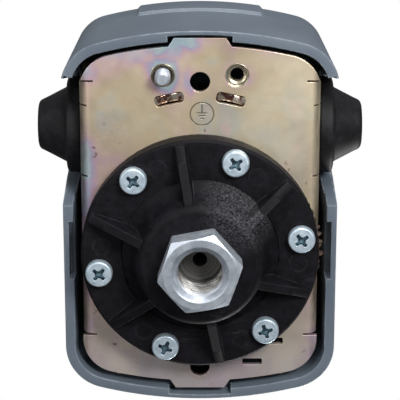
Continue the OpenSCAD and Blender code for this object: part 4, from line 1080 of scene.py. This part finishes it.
def rib_mesh(angle):
    """One radial rib: a box section with draft and small edge radii, swept along the radius. Its crest climbs
    in a straight line from a drop over the ring at its outer end to the same drop under the dome's top."""
    t = np.linspace(0, 1, 22)
    start, end, drop = 14.5, 29.9, 1.2
    radius = start + (end - start) * t
    crest = np.interp(radius, [16.2, end], [Z_DOME + drop, Z_RING - drop])
    section = rounded([(-1.5, 1.0), (-1.2, 0.0), (1.2, 0.0), (1.5, 1.0)], [0, 0.2, 0.2, 0], 5)
    foot = Z_RING + 1.7
    y = np.broadcast_to(section[None, :, 0], (len(t), len(section)))
    z = crest[:, None] + (foot - crest)[:, None] * section[None, :, 1]
    x = np.broadcast_to(radius[:, None], z.shape)
    c, s = math.cos(angle), math.sin(angle)
    p = np.stack([x * c - y * s, x * s + y * c, z], -1)
    return grid_mesh("rib", p.transpose(1, 0, 2), 30, capped=True)


def mark_mesh(angle):
    """Shallow ejector circle on the ring: a low rounded rim of revolution."""
    c, s = math.cos(angle), math.sin(angle)
    a = np.linspace(0, TAU, 9)[:-1]
    place_r, mark_r = 25.5, 2.2
    section = np.stack([mark_r + 0.12 * np.cos(a), Z_RING + 0.03 + 0.06 * np.sin(a)], -1)
    return lathe("mark", section, 40, at=(place_r * c, place_r * s))


def full_flange():
    """The flange's body, six ribs and six ejector circles."""
    parts = [flange_mesh()]
    parts += [rib_mesh(math.radians(RIB_ANGLE + 60 * k)) for k in range(6)]
    parts += [mark_mesh(math.radians(MARK_ANGLE + 60 * k)) for k in range(6)]
    return joined("pressure_flange", parts, 34)


def diaphragm_mesh(seed):
    """Ring of rubber between flange and plate, with the membrane across it. Its edge is r = edge + ragged(a),
    where ragged(a) sums random cosine waves and is strongest on the +X side."""
    rng = np.random.default_rng(seed)
    a = np.linspace(0, TAU, 720, endpoint=False)
    lumps = sum(rng.uniform(0.3, 1) * np.cos(k * a + rng.uniform(0, TAU)) for k in range(30, 120, 5))
    lumps = np.clip(lumps / 3.5, -1, 1)
    side = np.exp(-(((a + math.pi) % TAU - math.pi) / 0.3) ** 2)
    ragged = 0.06 * np.clip(lumps + 0.3, 0, 1) + side * (0.5 + 1.2 * np.clip(lumps + 0.4, 0, 1))
    top, low = Z_PLATE, Z_BACK
    edge, flat = 30.5, 30.0
    profile = np.array([(0.6, low + 0.7), (14.5, low + 0.7), (16, low), (flat, low), (edge - 0.1, low + 0.25),
                        (edge, low + 0.7), (edge, low + 1.5), (edge - 0.1, top - 0.25), (flat, top),
                        (15.4, top), (14.1, top - 0.7), (0.6, top - 0.7)])
    r, z = profile.T[:, None]
    rr = r + ragged[:, None] * np.clip((r - flat) / (edge - flat), 0, 1)
    p = np.stack([rr * np.cos(a)[:, None], rr * np.sin(a)[:, None], np.broadcast_to(z, rr.shape)], -1)
    return grid_mesh("switch_diaphragm", p, 50)


def hexagon_radius(angle, flats, corner):
    """Distance from the axis to a hexagon's side in the direction of an angle, with one corner at corner."""
    step = (angle - corner) % (math.pi / 3) - math.pi / 6
    return flats / 2 / np.cos(step)


def port_mesh(settings):
    """Radial grid r(a, v): the outer rows are min(hexagon(a), chamfer cone), the bore rows follow a helical
    thread r = minor + depth tri(z / pitch - a / tau), and the inner end closes round the orifice."""
    flats, pitch = settings.hex_flats / MM, settings.thread_pitch / MM
    corner = math.radians(49)
    near = np.array([-0.01, 0, 0.01])
    corners = [(corner + k * math.pi / 3 + near) % TAU for k in range(6)]
    a = np.unique(np.concatenate([np.linspace(0, TAU, 288, endpoint=False)] + corners))
    hexa = hexagon_radius(a, flats, corner)
    rounded_hexa = np.minimum(hexa, flats / 2 / math.cos(math.pi / 6) - 0.12)
    rows = []

    def put(r, z):
        r = np.broadcast_to(r, a.shape)
        z = np.broadcast_to(z, a.shape)
        rows.append(np.stack([r * np.cos(a), r * np.sin(a), z], -1))

    shank_r, z_in, orifice_r = 8.45, Z_BACK - 1.6, 1.8
    put(shank_r, z_in)
    put(shank_r, Z_DOME + 0.5)
    put(shank_r, Z_DOME)
    put(rounded_hexa - 0.1, Z_DOME)
    put(rounded_hexa, Z_DOME - 0.12)
    flat_r, slope = 9.2, math.tan(math.radians(27))
    rise = (rounded_hexa - flat_r) * slope
    for t in np.linspace(0.15, 1, 5):
        put(rounded_hexa, Z_DOME - 0.12 + (Z_MOUTH + rise - Z_DOME + 0.12) * t)
    for t in np.linspace(0.97, 0.0, 7):
        put(flat_r + (rounded_hexa - flat_r) * t, Z_MOUTH + rise * t)
    put(flat_r - 0.1, Z_MOUTH)
    mouth, minor, major = 7.3, 5.74, 6.56
    put(8.3, Z_MOUTH)
    put(mouth + 0.12, Z_MOUTH)
    put(mouth, Z_MOUTH + 0.08)
    depth = major - minor
    start, end = Z_MOUTH + 0.35, Z_MOUTH + 11.2
    z_rows = np.linspace(start, end, int((end - start) / pitch * 12))
    for z in z_rows:
        wave = np.abs(((z / pitch - a / TAU) % 1) * 2 - 1)
        thread = minor + depth * np.clip(wave * 1.35 - 0.18, 0, 1)
        cone = mouth - (z - Z_MOUTH) * 0.92
        fade = smooth(z, end, end - 1.2)
        put(np.maximum(cone, minor + (thread - minor) * fade), z)
    floor = Z_MOUTH + 12.3
    put(minor, floor - 0.5)
    put(minor - 0.4, floor)
    for k in range(6):
        put(minor - 0.7 - 0.5 * k, floor + (0.05 if k % 2 else 0.0))
    put(orifice_r + 0.2, floor + 0.02)
    put(orifice_r, floor + 0.25)
    put(orifice_r, z_in)
    return grid_mesh("port_hexagon", np.stack(rows, 1), 30)


# ---------------------------------------------------------------- screws

def screw_head(d, h, cross, sink=1.35):
    """Pan head as a height field over polar rings: z = side + crown(r) - recess(x, y).
    The recess is two crossed slots whose width narrows with distance, floored by a shallow cone."""
    r_out, reach_out = d / 2, cross / 2
    side = h * 0.62
    edge = 0.45
    ring = np.concatenate([np.linspace(0.05, reach_out + 0.3, 44),
                           np.linspace(reach_out + 0.5, r_out - edge, 4),
                           r_out - edge + edge * np.sin(np.linspace(0.15, 1, 7) * math.pi / 2)])
    a = np.linspace(0, TAU, 144, endpoint=False)[:, None]
    r = ring[None]
    crown = (h - side) * np.sqrt(np.clip(1 - np.clip((r - (r_out - edge)) / edge, 0, 1) ** 2, 0, 1))
    crown = crown - 0.1 * (r / r_out) ** 2 * (r < r_out)
    x, y = r * np.cos(a), r * np.sin(a)
    slots = np.zeros(x.shape)
    for along, across in ((x, y), (y, x)):
        reach = 1 - smooth(np.abs(along), reach_out - 0.45, reach_out + 0.02)
        half = 0.52 - 0.07 * np.abs(along)
        walls = 1 - smooth(np.abs(across), half - 0.06, half + 0.06)
        slots = np.maximum(slots, reach * walls)
    heart = 1 - smooth(np.hypot(x, y), 0.75, 1.05)
    slots = np.maximum(slots, heart)
    z = side + crown - sink * slots * (1 - 0.3 * np.clip(np.hypot(x, y) / reach_out, 0, 1))
    top = np.stack([x, y, z], -1)
    rim = [np.stack([(r_out - k) * np.cos(a[:, 0]), (r_out - k) * np.sin(a[:, 0]), np.full(len(a), zz)], -1)
           for k, zz in ((0.0, side * 0.6), (0.0, 0.15), (0.15, 0.0), (r_out * 0.6, 0.0))]
    points = np.concatenate([top, np.stack(rim, 1)], 1)
    head = grid_mesh("head", points, 34, capped=True)
    centre = np.zeros(len(head.polygons) * 3)
    head.polygons.foreach_get("center", centre)
    x, y, z = centre.reshape(-1, 3).T / MM
    # Faces deep in the recess take the second material, whose darker colour is painted shade
    deep = (np.hypot(x, y) < reach_out + 0.1) & (z < h - 0.22) & (z > 0.05)
    head.polygons.foreach_set("material_index", deep.astype(np.int32))
    return head


def shank(d, length, tip=0.5, down=True):
    """Threaded shank: r = d / 2 - 0.24 (1 - wave(z / pitch - a / tau)), with a chamfered end."""
    pitch = 0.7
    count = max(8, int(length / pitch * 6))
    a = np.linspace(0, TAU, 48, endpoint=False)[:, None]
    z = np.linspace(0.02, length - tip, count)[None]
    wave = 0.5 + 0.5 * np.cos(TAU * (z / pitch - a / TAU))
    r = d / 2 - 0.24 * (1 - wave)
    z = np.broadcast_to(z, r.shape)
    end = np.stack([np.full(len(a), d / 2 - tip - 0.1), np.full(len(a), length)], -1)[:, None]
    rz = np.concatenate([np.stack([r, z], -1), end], 1)
    sign = -1 if down else 1
    p = np.stack([rz[..., 0] * np.cos(a), rz[..., 0] * np.sin(a), sign * rz[..., 1]], -1)
    return grid_mesh("shank", p, 34, capped=True)


FLANGE_TURNS = (22, 4, 52, 78, 34, 63)   # degrees that each screw's recess is turned


def flange_screw_mesh():
    """Six screws on the bolt circle, each with its own turn of the cross recess."""
    parts = []
    for k, turn in enumerate(FLANGE_TURNS):
        a = math.radians(SCREW_ANGLE + 60 * k)
        x, y = SCREW_PCD / 2 * math.cos(a), SCREW_PCD / 2 * math.sin(a)
        parts.append(moved(screw_head(7.0, 2.35, 4.0), x, y, Z_RING, math.radians(turn) + a, True))
        parts.append(moved(shank(3.75, Z_FLOOR + 1.95 - Z_RING, down=False), x, y, Z_RING))
    return joined("flange_screw_set", parts, 34)


def terminal_screw_mesh():
    """Four terminal screws over the block."""
    low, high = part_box("terminal_screws")
    head_h, pitch, y = 2.2, 9.0, -33.4
    z_head = high.z / MM - head_h
    parts = []
    for k in range(4):
        x = (k - 1.5) * pitch
        parts.append(moved(screw_head(6.2, head_h, 3.6), x, y, z_head, math.radians(20 + 37 * k)))
        parts.append(moved(shank(3.35, z_head - low.z / MM), x, y, z_head))
    return joined("terminal_screw_set", parts, 34)


def earth_screw_mesh():
    """Earth screw: head inside, threaded tip out through the extruded hole."""
    low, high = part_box("earth_screw")
    x, y = -EARTH[0], EARTH[1]
    head_h, z_full = 2.4, Z_PLATE + 0.4
    z_head = high.z / MM - head_h
    head = moved(screw_head(7.0, head_h, 3.8), x, y, z_head, 0.5)
    inner = moved(shank(3.34, z_head - Z_PLATE - 0.2), x, y, z_head)
    outer = moved(shank(4.0, z_full - low.z / MM, 0.55), x, y, z_full)
    return joined("earth_screw_piece", [head, inner, outer], 34)


def cover_screw_mesh():
    """Cover screw: a wider pan head sunk in the counterbore, and a long threaded shank."""
    low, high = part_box("cover_screw")
    head_h = 2.6
    z_head = high.z / MM - head_h
    head = moved(screw_head(8.0, head_h, 4.6, 1.7), *COVER_SCREW, z_head, 0.4)
    rod = moved(shank(3.22, z_head - low.z / MM), *COVER_SCREW, z_head)
    return joined("cover_screw_piece", [head, rod], 34)


# ---------------------------------------------------------------- glands

def gland_mesh(side):
    """Rubber gland revolved about X: inner flange, neck in the wall, outer collar, and a cone with a blind,
    rounded nose; hollow behind it."""
    wall_in, wall_out = 29.3, 31.2
    collar, end = wall_out + 3.9, wall_out + 11.6
    hollow, flange_r, collar_r = 7.9, 11.5, 12.75
    corners = [(hollow, wall_in - 2), (flange_r, wall_in - 2), (flange_r, wall_in), (GLAND_NECK_R, wall_in),
               (GLAND_NECK_R, wall_out), (collar_r, wall_out), (collar_r, collar), (10.3, collar),
               (9.9, collar + 0.5), (7.3, end - 2.2), (6.25, end), (0.05, end)]
    outer = rounded(corners, [0, 0.6, 0.1, 0.1, 0.1, 0.5, 1.0, 0.4, 0.3, 1.2, 1.6, 0], 7)
    inner = np.array([(0.05, end - 1.6), (4.6, end - 1.6), (hollow, collar), (hollow, wall_in - 1.9)])
    profile = resampled(np.concatenate([outer, inner]), 1.0)
    count = 96
    a = np.linspace(0, TAU, count, endpoint=False)[:, None]
    r, along = profile[None, :, 0], profile[None, :, 1]
    p = np.stack([side * np.broadcast_to(along, (count, len(profile))), GLAND_Y + r * np.cos(a),
                  Z_GLAND + r * np.sin(a)], -1)
    return grid_mesh("gland", p, 36)


# ---------------------------------------------------------------- springs

def spring_halves(name, at, coil_r, wire_r, z0, z1, turns):
    """Compression spring with closed, ground ends: the centre line climbs by pitch(t), a smooth step that is
    slow over the first and last turn, and the tube is clipped flat at z0 and z1. The tube is parted at its
    middle turn into a lower and an upper half."""
    n = int(turns * 36)
    t = np.linspace(0, turns, n)
    slow = smooth(t, 0.0, 1.3) * smooth(t, turns, turns - 1.3) + 0.12
    climb = np.concatenate([[0], np.cumsum((slow[1:] + slow[:-1]) / 2 * np.diff(t))])
    z = z0 + wire_r * 0.5 + (z1 - z0 - wire_r) * climb / climb[-1]
    a = TAU * t
    b = np.linspace(0, TAU, 14, endpoint=False)
    reach = coil_r + wire_r * np.cos(b)[:, None]
    height = np.clip(z + wire_r * np.sin(b)[:, None], z0, z1)
    p = np.stack([at[0] + reach * np.cos(a), at[1] + reach * np.sin(a), height], -1)
    return [grid_mesh(name + end, part, 60, capped=True)
            for end, part in (("_lower", p[:, :n // 2 + 1]), ("_upper", p[:, n // 2:]))]


# ---------------------------------------------------------------- settings

class CoverSettings(bpy.types.PropertyGroup):
    wall: FloatProperty(name="Wall", description="Thickness of the cover's wall", default=2.7 * MM,
                        min=0.001, max=0.004, unit="LENGTH", precision=5)
    draft: FloatProperty(name="Draft", description="How far each wall leans in from rim to top",
                         default=1.5 * MM, min=0.0, max=0.003, unit="LENGTH", precision=5)
    edge_radius: FloatProperty(name="Edge radius", description="Radius round the cover's top",
                               default=4.0 * MM, min=0.001, max=0.006, unit="LENGTH", precision=5)


class PortSettings(bpy.types.PropertyGroup):
    hex_flats: FloatProperty(name="Across flats", description="Width of the hexagon across its flats",
                             default=19.0 * MM, min=0.015, max=0.0192, unit="LENGTH", precision=5)
    thread_pitch: FloatProperty(name="Thread pitch", description="Pitch of the female pipe thread",
                                default=1.337 * MM, min=0.0008, max=0.003, unit="LENGTH", precision=6)


class RubberSettings(bpy.types.PropertyGroup):
    flash_seed: IntProperty(name="Flash seed", description="Seed of the diaphragm's ragged edge",
                            default=11, min=0)


class StageSettings(bpy.types.PropertyGroup):
    key_power: FloatProperty(name="Key power", description="Power of the key lamp", default=2.4, min=0.0,
                             unit="POWER")
    fill_power: FloatProperty(name="Fill power", description="Power of the fill lamp", default=0.55, min=0.0,
                              unit="POWER")
    strip_power: FloatProperty(name="Strip power", description="Power of the strip over the glands' side",
                               default=0.9, min=0.0, unit="POWER")
    back_power: FloatProperty(name="Back power", description="Power of the two lamps on the cover's side",
                              default=4.0, min=0.0, unit="POWER")
    ambient: FloatProperty(name="Ambient", description="Strength of the white surroundings as a light",
                           default=0.3, min=0.0, max=3.0)
    background: FloatVectorProperty(name="Background", description="Colour seen behind the switch",
                                    default=(1.0, 1.0, 1.0), subtype="COLOR", min=0.0, max=1.0)


SETTINGS = {"ps_cover": CoverSettings, "ps_port": PortSettings, "ps_rubber": RubberSettings,
            "ps_stage": StageSettings}


# ---------------------------------------------------------------- operators

class PS_OT_cover(bpy.types.Operator):
    """Build the moulded cover"""
    bl_idname = "pressure_switch.cover"
    bl_label = "Cover"

    def execute(self, context):
        mesh = cover_mesh(context.scene.ps_cover)
        add_piece("cover_shell", mesh, "cover_body", "cover", ["cover"], material_for("cover"))
        return {"FINISHED"}


class PS_OT_plate(bpy.types.Operator):
    """Build the folded base plate"""
    bl_idname = "pressure_switch.plate"
    bl_label = "Base plate"

    def execute(self, context):
        looks = [material_for(finish) for finish in ("plate", "lance", "drawn")]
        add_piece("folded_plate", plate_mesh(), "switch_base", "plate", ["base_plate"], *looks)
        return {"FINISHED"}


class PS_OT_flange(bpy.types.Operator):
    """Build the flange and the diaphragm under it"""
    bl_idname = "pressure_switch.flange"
    bl_label = "Flange and diaphragm"

    def execute(self, context):
        add_piece("ribbed_flange", full_flange(), "switch_base", "flange", ["flange"], material_for("flange"))
        rubber = diaphragm_mesh(context.scene.ps_rubber.flash_seed)
        add_piece("rubber_diaphragm", rubber, "switch_base", "rubber", ["diaphragm"],
                  material_for("diaphragm"))
        return {"FINISHED"}


class PS_OT_port(bpy.types.Operator):
    """Build the hexagonal port fitting"""
    bl_idname = "pressure_switch.port"
    bl_label = "Port fitting"

    def execute(self, context):
        mesh = port_mesh(context.scene.ps_port)
        add_piece("hexagon_port", mesh, "switch_base", "zinc", ["port_fitting"], material_for("zinc"))
        return {"FINISHED"}


class PS_OT_screws(bpy.types.Operator):
    """Build the cross-recessed screws"""
    bl_idname = "pressure_switch.screws"
    bl_label = "Screws"

    def execute(self, context):
        recess = material_for("recess")
        for name, build, body, node, finish in (
            ("flange_screw_pieces", flange_screw_mesh, "switch_base", "flange_screws", "steel"),
            ("terminal_screw_pieces", terminal_screw_mesh, "switch_base", "terminal_screws", "steel"),
            ("earth_screw_piece", earth_screw_mesh, "switch_base", "earth_screw", "zinc"),
            ("cover_screw_piece", cover_screw_mesh, "cover_screw_body", "cover_screw", "steel"),
        ):
            add_piece(name, build(), body, "steel", [node], material_for(finish), recess)
        return {"FINISHED"}


class PS_OT_glands(bpy.types.Operator):
    """Build the two rubber cable glands"""
    bl_idname = "pressure_switch.glands"
    bl_label = "Cable glands"

    def execute(self, context):
        rubber = material_for("rubber")
        for side, node in ((1, "gland_right"), (-1, "gland_left")):
            add_piece("rubber_" + node, gland_mesh(side), "switch_base", "rubber", [node], rubber)
        return {"FINISHED"}


class PS_OT_springs(bpy.types.Operator):
    """Build the range and differential springs"""
    bl_idname = "pressure_switch.springs"
    bl_label = "Springs"

    def execute(self, context):
        steel = material_for("spring")
        for kind, at, coil_r, wire_r, turns in (
            ("range", RANGE_AT, 6.1, 1.1, 7.0),
            ("differential", DIFF_AT, 3.6, 0.6, 7.5),
        ):
            node = kind + "_spring"
            low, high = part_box(node)
            z0, z1 = low.z / MM, high.z / MM
            lower, upper = spring_halves(node + "_wire", at, coil_r, wire_r, z0, z1, turns)
            foot = add_piece(lower.name, lower, "switch_base", "spring", [node], steel)
            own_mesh(foot)
            head = add_piece(upper.name, upper, None, "spring", [node], steel)
            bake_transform(head)
        return {"FINISHED"}


class PS_OT_inner(bpy.types.Operator):
    """Give the inner CAD pieces their procedural materials"""
    bl_idname = "pressure_switch.inner"
    bl_label = "Inner pieces"

    def execute(self, context):
        finishes = {
            "lever": ["lever"],
            "steel": ["pivot_pin", "pivot_clips", "range_stud", "range_spring_seat", "differential_stud",
                      "differential_spring_seat", "cover_pillar"],
            "spring": ["contact_springs"],
            "nylon": ["piston", "contact_carrier", "cover_screw_washer"],
            "brass": ["moving_contacts", "fixed_contacts"],
            "plate": ["terminal_clamps", "earth_clamp", "range_nut", "differential_nut"],
            "block": ["contact_block"],
        }
        for finish, nodes in finishes.items():
            for node in nodes:
                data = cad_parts[node].data
                data.materials.clear()
                data.materials.append(material_for(finish))
        return {"FINISHED"}


def add_to_stage(name, data, matrix):
    """Links a lamp or camera as part of the stage."""
    obj = bpy.data.objects.new(name, data)
    obj.matrix_world = matrix
    bpy.context.scene.collection.objects.link(obj)
    return obj


def area_lamp(name, place, aim, size, power):
    """Rectangular area lamp at a place, turned to face a point, both in millimetres."""
    data = bpy.data.lights.new(name, "AREA")
    data.shape = "RECTANGLE"
    data.size, data.size_y = size[0] * MM, size[1] * MM
    data.energy = power
    back = np.array(place, float) - np.array(aim, float)
    back = back / np.linalg.norm(back)
    side = np.cross((0, 1, 0) if abs(back[1]) < 0.9 else (1, 0, 0), back)
    side = side / np.linalg.norm(side)
    add_to_stage(name, data, axes_matrix(side, np.cross(back, side), back, place))


def white_surroundings(world, ambient, background):
    """World that is seen in the background colour and lights the piece in a bluish white, more from -Y."""
    world.use_nodes = True
    world.node_tree.nodes.clear()
    net = Net(world.node_tree)
    direction = net.split(net.add("ShaderNodeTexCoord").outputs["Generated"])
    toward_front = net.spread(direction[1], 0.9, -0.9, 0.45, 1.0)
    dim = net.add("ShaderNodeBackground", {"Color": (0.94, 0.97, 1.0),
                                           "Strength": net.math("MULTIPLY", toward_front, ambient)})
    white = net.add("ShaderNodeBackground", {"Color": background, "Strength": 1.0})
    seen = net.add("ShaderNodeLightPath").outputs["Is Camera Ray"]
    both = net.add("ShaderNodeMixShader", {0: seen, 1: dim.outputs[0], 2: white.outputs[0]})
    net.add("ShaderNodeOutputWorld", {0: both.outputs[0]})


class PS_OT_stage(bpy.types.Operator):
    """Build the camera, the lamps and the white surroundings"""
    bl_idname = "pressure_switch.stage"
    bl_label = "Stage"

    def execute(self, context):
        settings = context.scene.ps_stage
        camera = bpy.data.cameras.new("view")
        camera.lens = 165.3
        camera.sensor_width = 36
        camera.clip_end = 10
        right, forward = np.array([1.0, 0, 0]), np.array([0, 0.294, 0.9558])
        forward = forward / np.linalg.norm(forward)
        turn = axes_matrix(right, np.cross(right, forward), -forward, (0.0, -153.0, -434.78))
        context.scene.camera = add_to_stage("view", camera, turn)
        for lamp in (
            ("key", (190, -260, -330), (0, -5, 20), (150, 150), settings.key_power),
            ("fill", (-240, -120, -300), (0, 0, 20), (200, 200), settings.fill_power),
            ("front_strip", (0, -380, -60), (0, -10, 25), (300, 120), settings.strip_power),
            ("top", (0, 170, 540), (0, 0, 50), (70, 260), settings.back_power),
            ("rear", (160, 460, 180), (0, 20, 40), (260, 200), 0.7 * settings.back_power),
        ):
            area_lamp(*lamp)
        world = context.scene.world or bpy.data.worlds.new("surroundings")
        context.scene.world = world
        white_surroundings(world, settings.ambient, settings.background)
        context.scene.view_settings.view_transform = "Standard"
        return {"FINISHED"}


class PS_PT_panel(bpy.types.Panel):
    """Settings and build buttons of the pressure switch"""
    bl_label = "Pressure Switch"
    bl_idname = "PS_PT_panel"
    bl_space_type = "VIEW_3D"
    bl_region_type = "UI"
    bl_category = "Pressure Switch"

    def draw(self, context):
        for key, group in SETTINGS.items():
            box = self.layout.box()
            for field in group.__annotations__:
                box.prop(getattr(context.scene, key), field)
        for operator in OPERATORS:
            self.layout.operator(operator.bl_idname)


OPERATORS = (PS_OT_cover, PS_OT_plate, PS_OT_flange, PS_OT_port, PS_OT_screws, PS_OT_glands, PS_OT_springs,
             PS_OT_inner, PS_OT_stage)
CLASSES = tuple(SETTINGS.values()) + OPERATORS + (PS_PT_panel,)


def register():
    """Registers every class and hangs the settings on the scene."""
    for cls in CLASSES:
        bpy.utils.register_class(cls)
    for key, group in SETTINGS.items():
        setattr(bpy.types.Scene, key, PointerProperty(type=group))


def unregister():
    """Undoes register()."""
    for key in SETTINGS:
        delattr(bpy.types.Scene, key)
    for cls in reversed(CLASSES):
        bpy.utils.unregister_class(cls)


def main():
    """Builds every piece and the stage."""
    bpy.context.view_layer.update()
    register()
    for operator in OPERATORS:
        group, name = operator.bl_idname.split(".")
        getattr(getattr(bpy.ops, group), name)()


if __name__ == "__main__":
    main()
